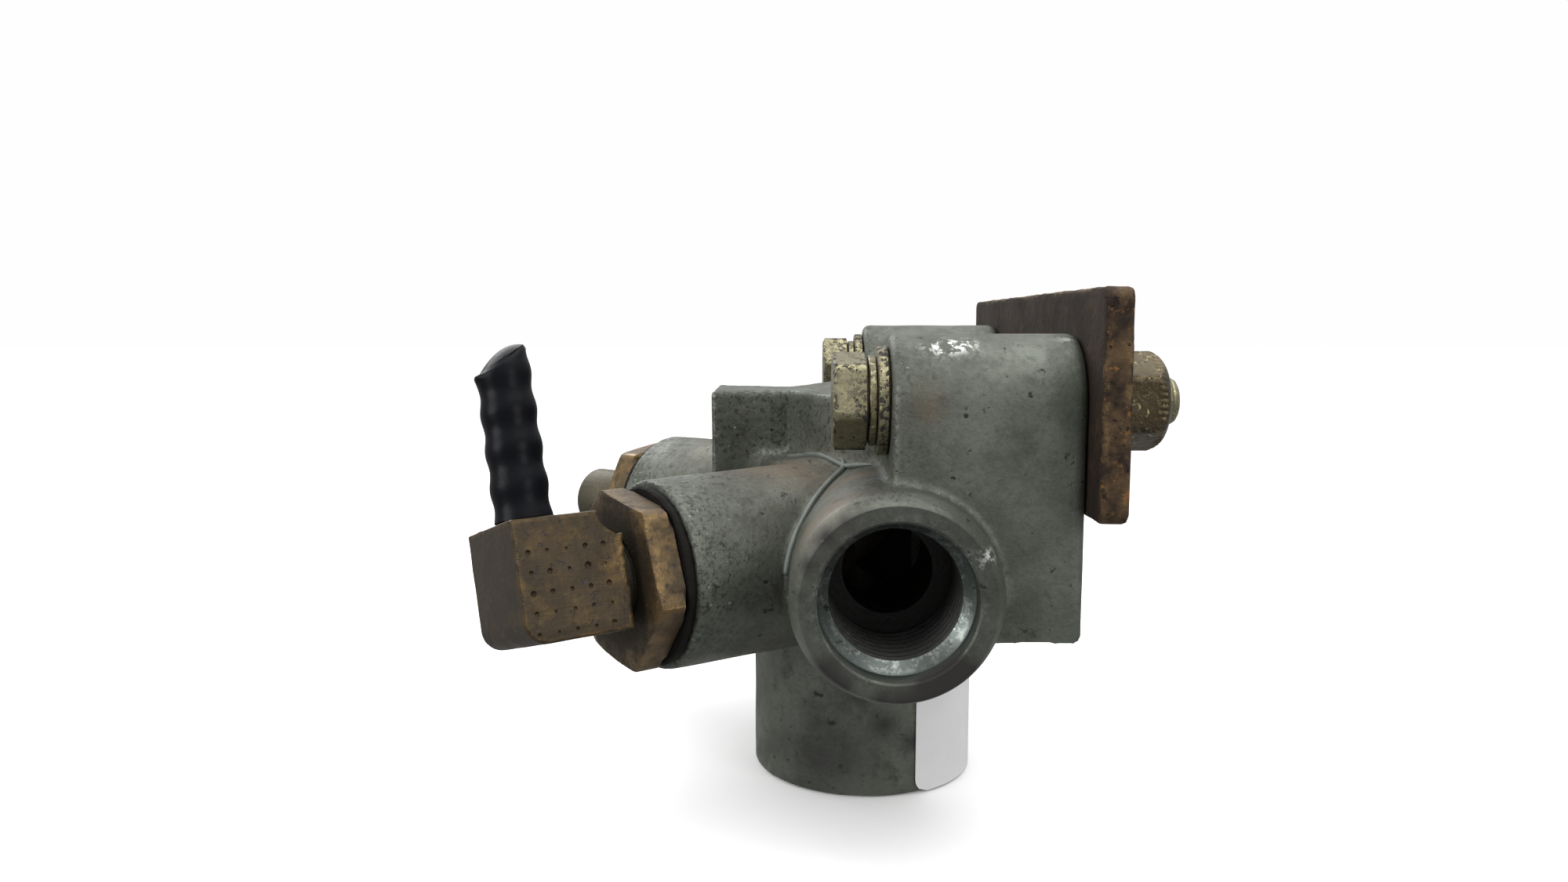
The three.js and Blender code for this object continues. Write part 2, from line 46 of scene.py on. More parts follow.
# Sizes below are in mm, in the valve's own coordinates: z = 0 on the boss's lower face, y = 0 midway
# between the two ports, x = 0 near the boss's axis. placeOf takes them to the frame, in metres.
mm = 0.001
lobeRight = 28.3
castLow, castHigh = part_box("valve_body")
valveOrigin = np.array([castHigh.x - lobeRight * mm, (castLow.y + castHigh.y) / 2, castLow.z])


def placeOf(points):
    return np.asarray(points, float) * mm + valveOrigin


# Mesh helpers

# turns a closed shape's faces round if they point inwards
def facesOutward(points, faces):
    volume = 0.0
    for face in faces:
        a = points[face[0]]
        for i in range(1, len(face) - 1):
            volume += np.dot(a, np.cross(points[face[i]], points[face[i + 1]]))
    return faces if volume > 0 else [tuple(reversed(face)) for face in faces]


def meshPiece(name, points, faces, smoothAngle=32):
    mesh = bpy.data.meshes.new(name)
    mesh.from_pydata(placeOf(points).tolist(), [], [tuple(face) for face in faces])
    mesh.validate()
    piece = bpy.data.objects.new(name, mesh)
    bpy.context.scene.collection.objects.link(piece)
    shadeByAngle(mesh, smoothAngle)
    return piece


def shadeByAngle(mesh, degrees):
    mesh.shade_smooth()
    mesh.set_sharp_from_angle(angle=math.radians(degrees))


def vertexPlaces(mesh):
    points = np.empty(len(mesh.vertices) * 3)
    mesh.vertices.foreach_get("co", points)
    return (points.reshape(-1, 3) - valveOrigin) / mm


def vertexNormals(mesh):
    normals = np.empty(len(mesh.vertices) * 3)
    mesh.vertex_normals.foreach_get("vector", normals)
    return normals.reshape(-1, 3)


def storeMask(mesh, name, values):
    attribute = mesh.attributes.new(name, "FLOAT", "POINT")
    attribute.data.foreach_set("value", np.clip(values, 0, 1).astype(np.float32))


# A frame is (origin, xAxis, yAxis, zAxis) in valve coordinates.
def frameOf(origin, zAxis, xAxis):
    z = np.array(zAxis, float)
    x = np.array(xAxis, float)
    return np.array(origin, float), x, np.cross(z, x), z


def intoValve(local, base):
    origin, x, y, z = base
    local = np.asarray(local, float)
    return origin + local[:, :1] * x + local[:, 1:2] * y + local[:, 2:3] * z


def localOf(mesh, base):
    origin, x, y, z = base
    offset = vertexPlaces(mesh) - origin
    return np.stack([offset @ x, offset @ y, offset @ z], -1)


def turnedFrame(base, degrees):
    origin, x, y, z = base
    c, s = math.cos(math.radians(degrees)), math.sin(math.radians(degrees))
    return origin, c * x + s * y, c * y - s * x, z


# distance from the axis to a hexagon's side, with its corners slightly rounded off
def hexReach(angles, acrossFlats, phase, cornerCut=0.22):
    offset = (angles - math.radians(phase)) % (math.pi / 3) - math.pi / 6
    reach = acrossFlats / 2 / np.cos(offset)
    nearCorner = np.exp(-((math.pi / 6 - np.abs(offset)) / 0.035) ** 2)
    return reach - cornerCut * nearCorner


# Turned solid about z. A profile point is (radius, height) or (radius, height, "hex"), which the
# hexagon also limits. The profile starts and ends on the axis, or closes on itself.
def turnedShape(profile, sides=144, hexSize=None, phase=0.0, shaping=None):
    angles = math.radians(phase) + np.arange(sides) * 2 * math.pi / sides
    closed = profile[0][0] > 1e-6
    rings, points, faces = [], [], []
    for entry in profile:
        radius, height = entry[0], entry[1]
        if radius < 1e-6:
            rings.append([len(points)])
            points.append((0.0, 0.0, height))
            continue
        reach = np.full(sides, float(radius))
        if len(entry) > 2:
            reach = np.minimum(reach, hexReach(angles, hexSize, phase))
        if shaping is not None:
            reach = shaping(reach, angles, height)
        rings.append(list(range(len(points), len(points) + sides)))
        points += [(r * math.cos(a), r * math.sin(a), height) for r, a in zip(reach, angles)]
    pairs = list(zip(rings, rings[1:] + ([rings[0]] if closed else [])))
    for low, high in pairs[: None if closed else len(rings) - 1]:
        for i in range(sides):
            j = (i + 1) % sides
            if len(low) == 1:
                faces.append((low[0], high[j], high[i]))
            elif len(high) == 1:
                faces.append((low[i], low[j], high[0]))
            else:
                faces.append((low[i], low[j], high[j], high[i]))
    points = np.array(points)
    return points, facesOutward(points, faces)


def joinedShapes(*shapes):
    points, faces, start = [], [], 0
    for part, partFaces in shapes:
        points.append(part)
        faces += [tuple(i + start for i in face) for face in partFaces]
        start += len(part)
    return np.concatenate(points), faces


# smooth uneven field, about -1 to 1, with bumps of about the given size in mm
def ripple(points, size, seed):
    rng = np.random.default_rng(seed)
    total = np.zeros(len(points))
    for _ in range(7):
        direction = rng.normal(size=3)
        direction /= np.linalg.norm(direction)
        wave = points @ direction * (2 * math.pi / size * rng.uniform(0.6, 1.5))
        total += np.sin(wave + rng.uniform(0, 2 * math.pi))
    return total / 3.2


# Distance fields, and the mesh of where one is zero

def softJoin(a, b, blend):
    near = np.maximum(blend - np.abs(a - b), 0) / blend
    return np.minimum(a, b) - near * near * blend / 4


# solid whose section and length distances are given, with its rim rounded by edge
def roundedBlock(sideways, lengthways, edge):
    u, v = sideways + edge, lengthways + edge
    outside = np.hypot(np.maximum(u, 0), np.maximum(v, 0))
    return np.minimum(np.maximum(u, v), 0) + outside - edge


# signed distance to a closed outline, less than zero inside
def outlineDistance(x, y, corners):
    nearest = np.full(len(x), 1e9)
    inside = np.zeros(len(x), bool)
    for (ax, ay), (bx, by) in zip(corners, corners[1:] + corners[:1]):
        ex, ey = bx - ax, by - ay
        along = np.clip(((x - ax) * ex + (y - ay) * ey) / (ex * ex + ey * ey), 0, 1)
        nearest = np.minimum(nearest, np.hypot(x - ax - along * ex, y - ay - along * ey))
        if ay != by:
            crossing = (ay > y) != (by > y)
            inside ^= crossing & (x < ex * (y - ay) / ey + ax)
    return np.where(inside, -nearest, nearest)


# mesh of a distance field's zero surface: one point in each crossed cell, then pulled onto it
def surfaceOf(distance, low, high, step):
    axes = [np.arange(low[i], high[i] + step, step) for i in range(3)]
    grid = np.stack(np.meshgrid(*axes, indexing="ij"), -1).reshape(-1, 3)
    parts = [distance(part) for part in np.array_split(grid, max(1, len(grid) // 400000))]
    values = np.concatenate(parts).reshape([len(axis) for axis in axes])
    inside = values < 0
    cells = [len(axis) - 1 for axis in axes]
    corners = [(a, b, c) for a in (0, 1) for b in (0, 1) for c in (0, 1)]
    count = sum(inside[a:a + cells[0], b:b + cells[1], c:c + cells[2]].astype(np.int8) for a, b, c in corners)
    crossed = (count > 0) & (count < 8)
    order = np.full(cells, -1)
    order[crossed] = np.arange(crossed.sum())
    index = np.stack(np.nonzero(crossed), -1)
    total, hits = np.zeros((len(index), 3)), np.zeros(len(index))
    for a in corners:
        for axis in range(3):
            if a[axis]:
                continue
            b = tuple(a[i] + (i == axis) for i in range(3))
            first = values[tuple(index[:, i] + a[i] for i in range(3))]
            second = values[tuple(index[:, i] + b[i] for i in range(3))]
            cross = (first < 0) != (second < 0)
            share = np.where(cross, first / np.where(cross, first - second, 1), 0)
            point = np.array(a) + share[:, None] * (np.array(b) - np.array(a))
            total += point * cross[:, None]
            hits += cross
    points = np.array(low) + step * (index + total / hits[:, None])
    for _ in range(3):
        points = pulledOnto(distance, points, step)
    faces = []
    for axis in range(3):
        u, v = (axis + 1) % 3, (axis + 2) % 3
        ahead = np.roll(inside, -1, axis)
        change = inside != ahead
        for side, edge in ((axis, -1), (u, 0), (v, 0)):
            slicer = [slice(None)] * 3
            slicer[side] = edge
            change[tuple(slicer)] = False
        spot = np.stack(np.nonzero(change), -1)
        spot = spot[(spot[:, u] < cells[u]) & (spot[:, v] < cells[v])]
        quad = []
        for du, dv in ((1, 1), (0, 1), (0, 0), (1, 0)):
            cell = spot.copy()
            cell[:, u] -= du
            cell[:, v] -= dv
            quad.append(order[tuple(cell.T)])
        quad = np.stack(quad, -1)
        solidBelow = inside[tuple(spot.T)]
        faces.append(np.where(solidBelow[:, None], quad, quad[:, ::-1]))
    return points, np.concatenate(faces)


def slopeOf(distance, points, reach=0.05):
    slope = np.empty_like(points)
    for axis in range(3):
        shift = np.zeros(3)
        shift[axis] = reach
        slope[:, axis] = (distance(points + shift) - distance(points - shift)) / (2 * reach)
    return slope


def pulledOnto(distance, points, limit):
    slope = slopeOf(distance, points)
    steep = np.maximum((slope ** 2).sum(1), 0.2)
    move = slope * (distance(points) / steep)[:, None]
    return points - np.clip(move, -limit / 2, limit / 2)


# piece without cutter, whose object is removed
def cutAway(piece, cutter, smoothAngle=32):
    cut = piece.modifiers.new("cut", "BOOLEAN")
    cut.operation = "DIFFERENCE"
    cut.solver = "MANIFOLD"
    cut.object = cutter
    finished = bpy.data.meshes.new_from_object(piece.evaluated_get(bpy.context.evaluated_depsgraph_get()))
    piece.modifiers.remove(cut)
    if len(finished.vertices) == 0:
        raise RuntimeError("nothing left of " + piece.name)
    old = piece.data
    name = old.name
    piece.data = finished
    bpy.data.meshes.remove(old)
    finished.name = name
    bpy.data.objects.remove(cutter)
    shadeByAngle(finished, smoothAngle)
    return piece


# Material helpers

# sRGB hex to linear
def colourOf(hexText):
    parts = [int(hexText[i:i + 2], 16) / 255 for i in (0, 2, 4)]
    linear = [p / 12.92 if p <= 0.04045 else ((p + 0.055) / 1.055) ** 2.4 for p in parts]
    return (*linear, 1.0)


# a node with its settings; a value that is a socket is linked, any other is set
def addNode(tree, kind, values=None, **settings):
    node = tree.nodes.new(kind)
    for key, value in settings.items():
        setattr(node, key, value)
    for key, value in (values or {}).items():
        if isinstance(value, bpy.types.NodeSocket):
            tree.links.new(value, node.inputs[key])
        else:
            node.inputs[key].default_value = value
    return node


def newMaterial(name):
    material = bpy.data.materials.new(name)
    material.use_nodes = True
    tree = material.node_tree
    tree.nodes.clear()
    where = addNode(tree, "ShaderNodeTexCoord").outputs["Object"]
    return material, tree, where


# 0 to 1 field with spots of about size mm; low and high set how much of it is filled, and it fades
# out where the mask it is kept within does
def patches(tree, where, size, low, high, detail=4.0, roughness=0.55, seed=0.0, within=None):
    noise = addNode(tree, "ShaderNodeTexNoise", {
        "Vector": where, "W": seed, "Scale": 0.6 / (size * mm), "Detail": detail, "Roughness": roughness,
    }, noise_dimensions="4D")
    return addNode(tree, "ShaderNodeMapRange", {
        "Value": noise.outputs["Fac"], "From Min": low, "From Max": high,
        "To Max": 1.0 if within is None else within,
    }).outputs["Result"]


# colour built up from a start and (mask, hex) layers laid over it in turn
def layered(tree, start, layers):
    result = colourOf(start)
    for mask, over in layers:
        mix = addNode(tree, "ShaderNodeMix", {0: mask, 6: result, 7: colourOf(over)}, data_type="RGBA")
        result = mix.outputs[2]
    return result


# number built up the same way, for roughness and metallic
def stepped(tree, start, layers):
    result = start
    for mask, over in layers:
        result = addNode(tree, "ShaderNodeMix", {0: mask, 2: result, 3: over}).outputs[0]
    return result


# the shader and its output; depth is the bump's full height in mm
def finishWith(tree, colour, roughness, metallic, height=None, depth=0.1, **constants):
    values = {"Base Color": colour, "Roughness": roughness, "Metallic": metallic}
    if height is not None:
        values["Normal"] = addNode(tree, "ShaderNodeBump", {
            "Height": height, "Distance": depth * mm, "Strength": 1.0,
        }).outputs["Normal"]
    values.update({key.replace("_", " "): value for key, value in constants.items()})
    shader = addNode(tree, "ShaderNodeBsdfPrincipled", values)
    addNode(tree, "ShaderNodeOutputMaterial", {"Surface": shader.outputs["BSDF"]})


# Materials

# pressure die-cast alloy with a grey-green conversion coat: satin, mottled, bright where rubbed
def dieCastAlloy():
    material, tree, where = newMaterial("dieCastAlloy")
    mask = {}
    for name in ("edge", "hollow", "stain", "chip", "machined", "shadeAndDarkening", "flash", "scuff", "weathered"):
        mask[name] = addNode(tree, "ShaderNodeAttribute", attribute_name=name).outputs["Fac"]
    cloud = patches(tree, where, 13, 0.38, 0.62, 5)
    mottle = patches(tree, where, 4.5, 0.42, 0.64, 6, 0.65, 2)
    grimeAndShade = patches(tree, where, 3.0, 0.55, 0.7, 8, 0.72, 5)
    pits = patches(tree, where, 0.9, 0.63, 0.69, 4, 0.6, 7)
    specks = patches(tree, where, 0.5, 0.5, 0.62, 4, 0.7, 24, within=mask["weathered"])
    glints = patches(tree, where, 0.4, 0.63, 0.68, 4, 0.7, 26, within=mask["weathered"])
    rubbed = patches(tree, where, 0.8, 0.5, 0.62, 5, 0.75, 9, within=mask["edge"])
    stained = patches(tree, where, 5, 0.3, 0.56, 7, 0.7, 12, within=mask["stain"])
    chipped = patches(tree, where, 1.9, 0.33, 0.38, 6, 0.7, 14, within=mask["chip"])
    edgeDirt = patches(tree, where, 1.1, 0.56, 0.62, 6, 0.75, 17, within=mask["edge"])
    scraped = patches(tree, where, 0.9, 0.5, 0.55, 5, 0.7, 28, within=mask["scuff"])
    colour = layered(tree, "53564e", [
        (cloud, "63675e"), (mottle, "454840"), (grimeAndShade, "34342d"), (specks, "2f2e29"), (glints, "8b8f89"),
        (stained, "584a38"), (mask["hollow"], "3a3b36"), (pits, "252521"), (mask["machined"], "5d6461"),
        # painted highlight: the die's flash ridges are coloured lighter
        (mask["flash"], "6a6f6a"), (rubbed, "959a95"), (edgeDirt, "2a2823"), (scraped, "dadcd9"),
        # painted shade deep in the port bores, with the port end faces and the low front of the boss darkened
        (chipped, "1f1b18"), (mask["shadeAndDarkening"], "1d1e1c"),
    ])
    roughness = stepped(tree, 0.5, [
        (mottle, 0.6), (grimeAndShade, 0.7), (rubbed, 0.32), (mask["machined"], 0.33), (chipped, 0.85),
        (mask["shadeAndDarkening"], 0.5),
    ])
    metallic = stepped(tree, 0.5, [
        (grimeAndShade, 0.3), (stained, 0.2), (rubbed, 0.9), (mask["machined"], 0.9), (chipped, 0.1),
        (mask["shadeAndDarkening"], 0.4),
    ])
    grain = patches(tree, where, 0.5, 0.2, 0.8, 3, 0.6, 20)  # drawn coarser than cast grain, to show
    waves = patches(tree, where, 3.4, 0.2, 0.8, 2, 0.5, 22)
    height = stepped(tree, grain, [
        (0.4, waves), (specks, 0.25), (pits, 0.0), (chipped, 0.1), (mask["machined"], 0.5),
    ])
    finishWith(tree, colour, roughness, metallic, height, 0.1)
    return material


# machined brass left to brown: dull in the flats, golden where hands and spanners rub it
def tarnishedBrass(name, body, bright, dark, rim, wear=0.5):
    material, tree, where = newMaterial(name)
    edge = addNode(tree, "ShaderNodeAttribute", attribute_name="edge").outputs["Fac"]
    # one attribute darkens the brass: painted shade on the gland nuts' outer faces, and plain darkening on the
    # spindles and on the hub's lower end
    grimeAndShade = addNode(tree, "ShaderNodeAttribute", attribute_name="grimeAndShade").outputs["Fac"]
    cloud = patches(tree, where, 8, 0.36, 0.66, 6, 0.65, 31)
    worn = patches(tree, where, 2.2, 0.56 - 0.1 * wear, 0.72, 7, 0.75, 33)
    specks = patches(tree, where, 0.7, 0.6, 0.66, 4, 0.6, 35)
    rubbed = patches(tree, where, 1.2, 0.4, 0.62, 5, 0.7, 37, within=edge)
    colour = layered(tree, body, [
        (cloud, dark), (worn, bright), (grimeAndShade, dark), (specks, "1d1611"), (rubbed, rim),
    ])
    roughness = stepped(tree, 0.44, [(cloud, 0.56), (worn, 0.36), (grimeAndShade, 0.6), (rubbed, 0.3)])
    metallic = stepped(tree, 0.8, [(cloud, 0.62), (worn, 0.95), (specks, 0.2)])
    drawnOut = addNode(tree, "ShaderNodeMapping", {"Vector": where, "Scale": (1.0, 1.0, 7.0)})
    scratches = patches(tree, drawnOut.outputs["Vector"], 1.8, 0.3, 0.7, 4, 0.6, 41)  # drawn coarser, to show
    height = stepped(tree, patches(tree, where, 0.6, 0.2, 0.8, 4, 0.6, 39), [
        (0.4, scratches), (specks, 0.0),
    ])
    finishWith(tree, colour, roughness, metallic, height, 0.07)
    return material


# yellow passivated zinc plate on steel: pale gold sheen, broken by black pits and brown film
def yellowZinc(name, body, shade, pit, pitted=0.6):
    material, tree, where = newMaterial(name)
    edge = addNode(tree, "ShaderNodeAttribute", attribute_name="edge").outputs["Fac"]
    cloud = patches(tree, where, 3.2, 0.4, 0.62, 5, 0.6, 51)
    film = patches(tree, where, 1.8, 0.6, 0.8, 7, 0.75, 53)
    holes = patches(tree, where, 0.45, pitted, pitted + 0.03, 4, 0.65, 55)
    flecks = patches(tree, where, 0.8, 0.58, 0.64, 6, 0.75, 57)
    edgeHoles = patches(tree, where, 0.6, 0.49, 0.54, 6, 0.7, 59, within=edge)
    colour = layered(tree, body, [
        (cloud, shade), (film, "4a3a22"), (flecks, "b0a67e"), (holes, pit), (edgeHoles, pit),
    ])
    roughness = stepped(tree, 0.34, [(film, 0.5), (holes, 0.75), (edgeHoles, 0.75)])
    metallic = stepped(tree, 0.9, [(film, 0.6), (holes, 0.1), (edgeHoles, 0.1)])
    height = stepped(tree, patches(tree, where, 0.5, 0.2, 0.8, 3, 0.6, 61), [(holes, 0.0), (edgeHoles, 0.0)])
    finishWith(tree, colour, roughness, metallic, height, 0.09)
    return material


# mild steel strip with a brown rust film, scraped to gold and orange flecks along its edges
def rustySteel():
    material, tree, where = newMaterial("rustySteel")
    edge = addNode(tree, "ShaderNodeAttribute", attribute_name="edge").outputs["Fac"]
    side = addNode(tree, "ShaderNodeAttribute", attribute_name="side").outputs["Fac"]
    cloud = patches(tree, where, 9, 0.38, 0.62, 6, 0.6, 71)
    bloom = patches(tree, where, 2.6, 0.5, 0.66, 7, 0.7, 73)
    sideBand = patches(tree, where, 3.4, 0.4, 0.62, 6, 0.7, 75, within=side)
    rustSpots = patches(tree, where, 1.3, 0.55, 0.62, 6, 0.75, 77, within=side)
    flecks = patches(tree, where, 0.9, 0.47, 0.53, 6, 0.75, 79, within=edge)
    specks = patches(tree, where, 0.6, 0.6, 0.66, 4, 0.6, 81)
    colour = layered(tree, "261c14", [
        (cloud, "1c140e"), (bloom, "33261b"), (sideBand, "594630"), (rustSpots, "75502c"),
        (specks, "15100c"), (flecks, "c2a56c"),
    ])
    roughness = stepped(tree, 0.72, [(cloud, 0.82), (sideBand, 0.55), (flecks, 0.35)])
    metallic = stepped(tree, 0.22, [(bloom, 0.15), (sideBand, 0.45), (flecks, 0.95)])
    height = stepped(tree, patches(tree, where, 1.4, 0.2, 0.8, 6, 0.7, 83), [(specks, 0.0)])
    finishWith(tree, colour, roughness, metallic, height, 0.2, Specular_IOR_Level=0.25)
    return material


# soft vinyl sleeve: near-black with a cool, satin sheen and a few dull scuffs
def mouldedVinyl():
    material, tree, where = newMaterial("mouldedVinyl")
    cloud = patches(tree, where, 7, 0.38, 0.66, 5, 0.6, 91)
    scuffs = patches(tree, where, 1.4, 0.62, 0.74, 6, 0.75, 93)
    colour = layered(tree, "0b0c10", [(cloud, "0f1014"), (scuffs, "1a1c22")])
    roughness = stepped(tree, 0.33, [(cloud, 0.4), (scuffs, 0.55)])
    skin = patches(tree, where, 0.8, 0.2, 0.8, 4, 0.5, 95)
    finishWith(tree, colour, roughness, 0.0, skin, 0.03, Specular_IOR_Level=0.07)
    return material


# fibre gasket, coloured a near-black dark brown as painted shade in the gap between nut and arm: matt and fuzzy at
# its rim
def compressedFibre():
    material, tree, where = newMaterial("compressedFibre")
    cloud = patches(tree, where, 1.5, 0.4, 0.64, 6, 0.7, 101)
    # painted shade: the gasket is coloured near black for the dark gap it sits in
    colour = layered(tree, "0b0a09", [(cloud, "14110f")])
    finishWith(tree, colour, stepped(tree, 0.7, [(cloud, 0.85)]), 0.0, cloud, 0.12, Specular_IOR_Level=0.15)
    return material


# coated label paper: pale cool grey, faintly soiled, with no print
def blankPaper():
    material, tree, where = newMaterial("blankPaper")
    soiled = patches(tree, where, 9, 0.45, 0.75, 5, 0.6, 111)
    spots = patches(tree, where, 0.8, 0.7, 0.76, 3, 0.5, 113)
    colour = layered(tree, "d9d9da", [(soiled, "cecece"), (spots, "b4b2ab")])
    finishWith(tree, colour, stepped(tree, 0.5, [(soiled, 0.62)]), 0.0,
               patches(tree, where, 2.5, 0.2, 0.8, 3, 0.5, 115), 0.05, IOR=1.45)
    return material


# turned white polymer bearing washer: waxy, with fine tool lines
def turnedPolymer():
    material, tree, where = newMaterial("turnedPolymer")
    cloud = patches(tree, where, 3, 0.4, 0.7, 4, 0.5, 121)
    colour = layered(tree, "dcd8cc", [(cloud, "cbc5b5")])
    finishWith(tree, colour, stepped(tree, 0.42, [(cloud, 0.5)]), 0.0, cloud, 0.03, IOR=1.5)
    return material


# drawn stainless rod: bright, with fine lines along its length
def drawnSteel():
    material, tree, where = newMaterial("drawnSteel")
    lines = addNode(tree, "ShaderNodeMapping", {"Vector": where, "Scale": (9.0, 9.0, 1.0)}).outputs["Vector"]
    streaks = patches(tree, lines, 4, 0.35, 0.65, 4, 0.6, 131)
    colour = layered(tree, "a9a8a4", [(streaks, "8d8c88")])
    finishWith(tree, colour, stepped(tree, 0.28, [(streaks, 0.4)]), 1.0, streaks, 0.02)
    return material


# moulded nitrile seal ring: black, matt, lightly greased
def mouldedNitrile():
    material, tree, where = newMaterial("mouldedNitrile")
    grease = patches(tree, where, 1.2, 0.45, 0.65, 4, 0.5, 141)
    colour = layered(tree, "0b0b0b", [(grease, "151413")])
    finishWith(tree, colour, stepped(tree, 0.6, [(grease, 0.3)]), 0.0, grease, 0.02, IOR=1.5)
    return material


finishes = {
    "casting": dieCastAlloy(),
    "gland_brass": tarnishedBrass("agedBrassNut", "554833", "70593a", "352d22", "765f3c", 0.5),
    "spindle_brass": tarnishedBrass("agedBrassSpindle", "565141", "6a644f", "3f3b30", "7d765c", 0.4),
    "lever_brass": tarnishedBrass("agedBrassLever", "3d3325", "4f4029", "2f271c", "7c6238", 0.5),
    "seal_rubber": mouldedNitrile(),
    "gasket_fibre": compressedFibre(),
    "thrust_polymer": turnedPolymer(),
    "rod_steel": drawnSteel(),
    "grip_rubber": mouldedVinyl(),
    "yellow_zinc": yellowZinc("yellowZincPlate", "88836a", "7c775e", "18130d", 0.6),
    "nut_zinc": yellowZinc("dulledZincPlate", "554c3a", "453c2b", "241b12", 0.63),
    "plate_steel": rustySteel(),
    "label_paper": blankPaper(),
}
print("materials made:", len(finishes))


def fitPiece(piece, body, slot, *nodes):
    piece.data.materials.clear()
    piece.data.materials.append(finishes[slot])
    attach(piece, body)
    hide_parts(*nodes)
    print(piece.name, "made:", len(piece.data.polygons), "faces")
    return piece


# Casting

casting = {
    "bossX": -0.4, "bossRadius": 19.1, "bossTop": 55.4, "bossEdge": 0.8,
    "axisHeight": 41.5, "barrelX": 1.8, "barrelRadius": 14.9, "portReach": 52.0, "rimRadius": 13.7,
    "rimTaper": 3.0, "rimEdge": 0.35, "rimSpare": 0.3,
    "armAngle": 36.0, "rootRadius": 14.8, "endRadius": 14.2, "armEdge": 0.7,
    "frontRootY": -10.5, "frontLength": 41.5, "rearRootY": -3.8, "rearLength": 45.9,
    "frontBore": -5.0, "rearBore": 8.0,
    "lobeLeft": 1.3, "lobeY": 35.0, "lobeRadius": 9.8, "lobeBottom": 34.0, "lobeEdge": 1.3,
    "boltHeight": 67.6, "boltHole": 4.5,
    "spineTop": 67.0, "spineBottom": 31.0, "spineEdge": 0.7,
    "fillet": 1.6, "broadFillet": 3.2, "step": 0.64, "wave": 0.035,
    "gridLow": [-46.8, -53.2, -1.2], "gridHigh": [29.6, 53.2, 79.0],
}
armTurn = math.radians(casting["armAngle"])


# frame of an arm: z outwards from its end face, x up
def armBase(side, rootY, length):
    outward = np.array([-math.cos(armTurn), side * math.sin(armTurn), 0.0])
    root = np.array([0.0, rootY, casting["axisHeight"]])
    return frameOf(root + outward * length, outward, (0, 0, 1))


def portBase(side):
    return frameOf((casting["barrelX"], 0, casting["axisHeight"]), (0, side, 0), (0, 0, 1))


def boltBase(side):
    face = (casting["lobeLeft"], side * casting["lobeY"], casting["boltHeight"])
    return frameOf(face, (-1, 0, 0), (0, -1, 0))


frontArm = armBase(-1, casting["frontRootY"], casting["frontLength"])
rearArm = armBase(1, casting["rearRootY"], casting["rearLength"])
armLengths = {"front": casting["frontLength"], "rear": casting["rearLength"]}


def alongAndAcross(points, base):
    origin, _, _, z = base
    offset = points - origin
    along = offset @ z
    return along, np.linalg.norm(offset - along[:, None] * z, axis=1)


def armDistance(points, base, length):
    along, across = alongAndAcross(points, base)
    taper = np.clip(-along / length, 0, 1)
    radius = casting["endRadius"] + (casting["rootRadius"] - casting["endRadius"]) * taper
    return roundedBlock(across - radius, np.abs(along + length / 2) - length / 2, casting["armEdge"])


# the spare is cut off again, so that the rim's edges come out sharp
def barrelDistance(points, spare=0.0):
    c = casting
    reach = np.abs(points[:, 1])
    across = np.hypot(points[:, 0] - c["barrelX"], points[:, 2] - c["axisHeight"])
    taper = np.clip((reach - c["portReach"] + c["rimTaper"]) / c["rimTaper"], 0, 1)
    radius = c["barrelRadius"] - (c["barrelRadius"] - c["rimRadius"] - spare) * taper
    return roundedBlock(across - radius, reach - c["portReach"] - spare, c["rimEdge"])


def bossDistance(points):
    across = np.hypot(points[:, 0] - casting["bossX"], points[:, 1])
    half = casting["bossTop"] / 2
    lengthways = np.abs(points[:, 2] - half) - half
    return roundedBlock(across - casting["bossRadius"], lengthways, casting["bossEdge"])


def lobeDistance(points, side):
    dy = np.abs(points[:, 1] - side * casting["lobeY"])
    dz = points[:, 2] - casting["boltHeight"]
    slab = np.maximum(dy - casting["lobeRadius"], casting["lobeBottom"] - points[:, 2])
    section = np.where(dz > 0, np.hypot(dy, dz) - casting["lobeRadius"], slab)
    half = (lobeRight - casting["lobeLeft"]) / 2
    return roundedBlock(section, np.abs(points[:, 0] - lobeRight + half) - half, casting["lobeEdge"])


def spineOutline():
    inner = casting["lobeY"] - casting["lobeRadius"] + 1.2
    half = [(-26.5, 8.3), (-13.5, 4.4), (-6.5, 17.4), (casting["lobeLeft"] + 1.2, inner), (14.0, inner)]
    return half + [(x, -y) for x, y in reversed(half)]


def spineDistance(points):
    section = outlineDistance(points[:, 0], points[:, 1], spineOutline())
    middle = (casting["spineTop"] + casting["spineBottom"]) / 2
    half = (casting["spineTop"] - casting["spineBottom"]) / 2
    return roundedBlock(section, np.abs(points[:, 2] - middle) - half, casting["spineEdge"])


def outsideDistance(points):
    front = armDistance(points, frontArm, casting["frontLength"])
    rear = armDistance(points, rearArm, casting["rearLength"])
    barrel = barrelDistance(points, casting["rimSpare"])
    spine = spineDistance(points)
    lobes = np.minimum(lobeDistance(points, -1), lobeDistance(points, 1))
    arms = softJoin(front, rear, casting["broadFillet"])
    body = softJoin(softJoin(arms, barrel, casting["fillet"]), spine, casting["fillet"])
    body = softJoin(body, bossDistance(points), casting["broadFillet"])
    body = softJoin(body, lobes, casting["fillet"])
    return body + casting["wave"] * ripple(points, 7, 3)


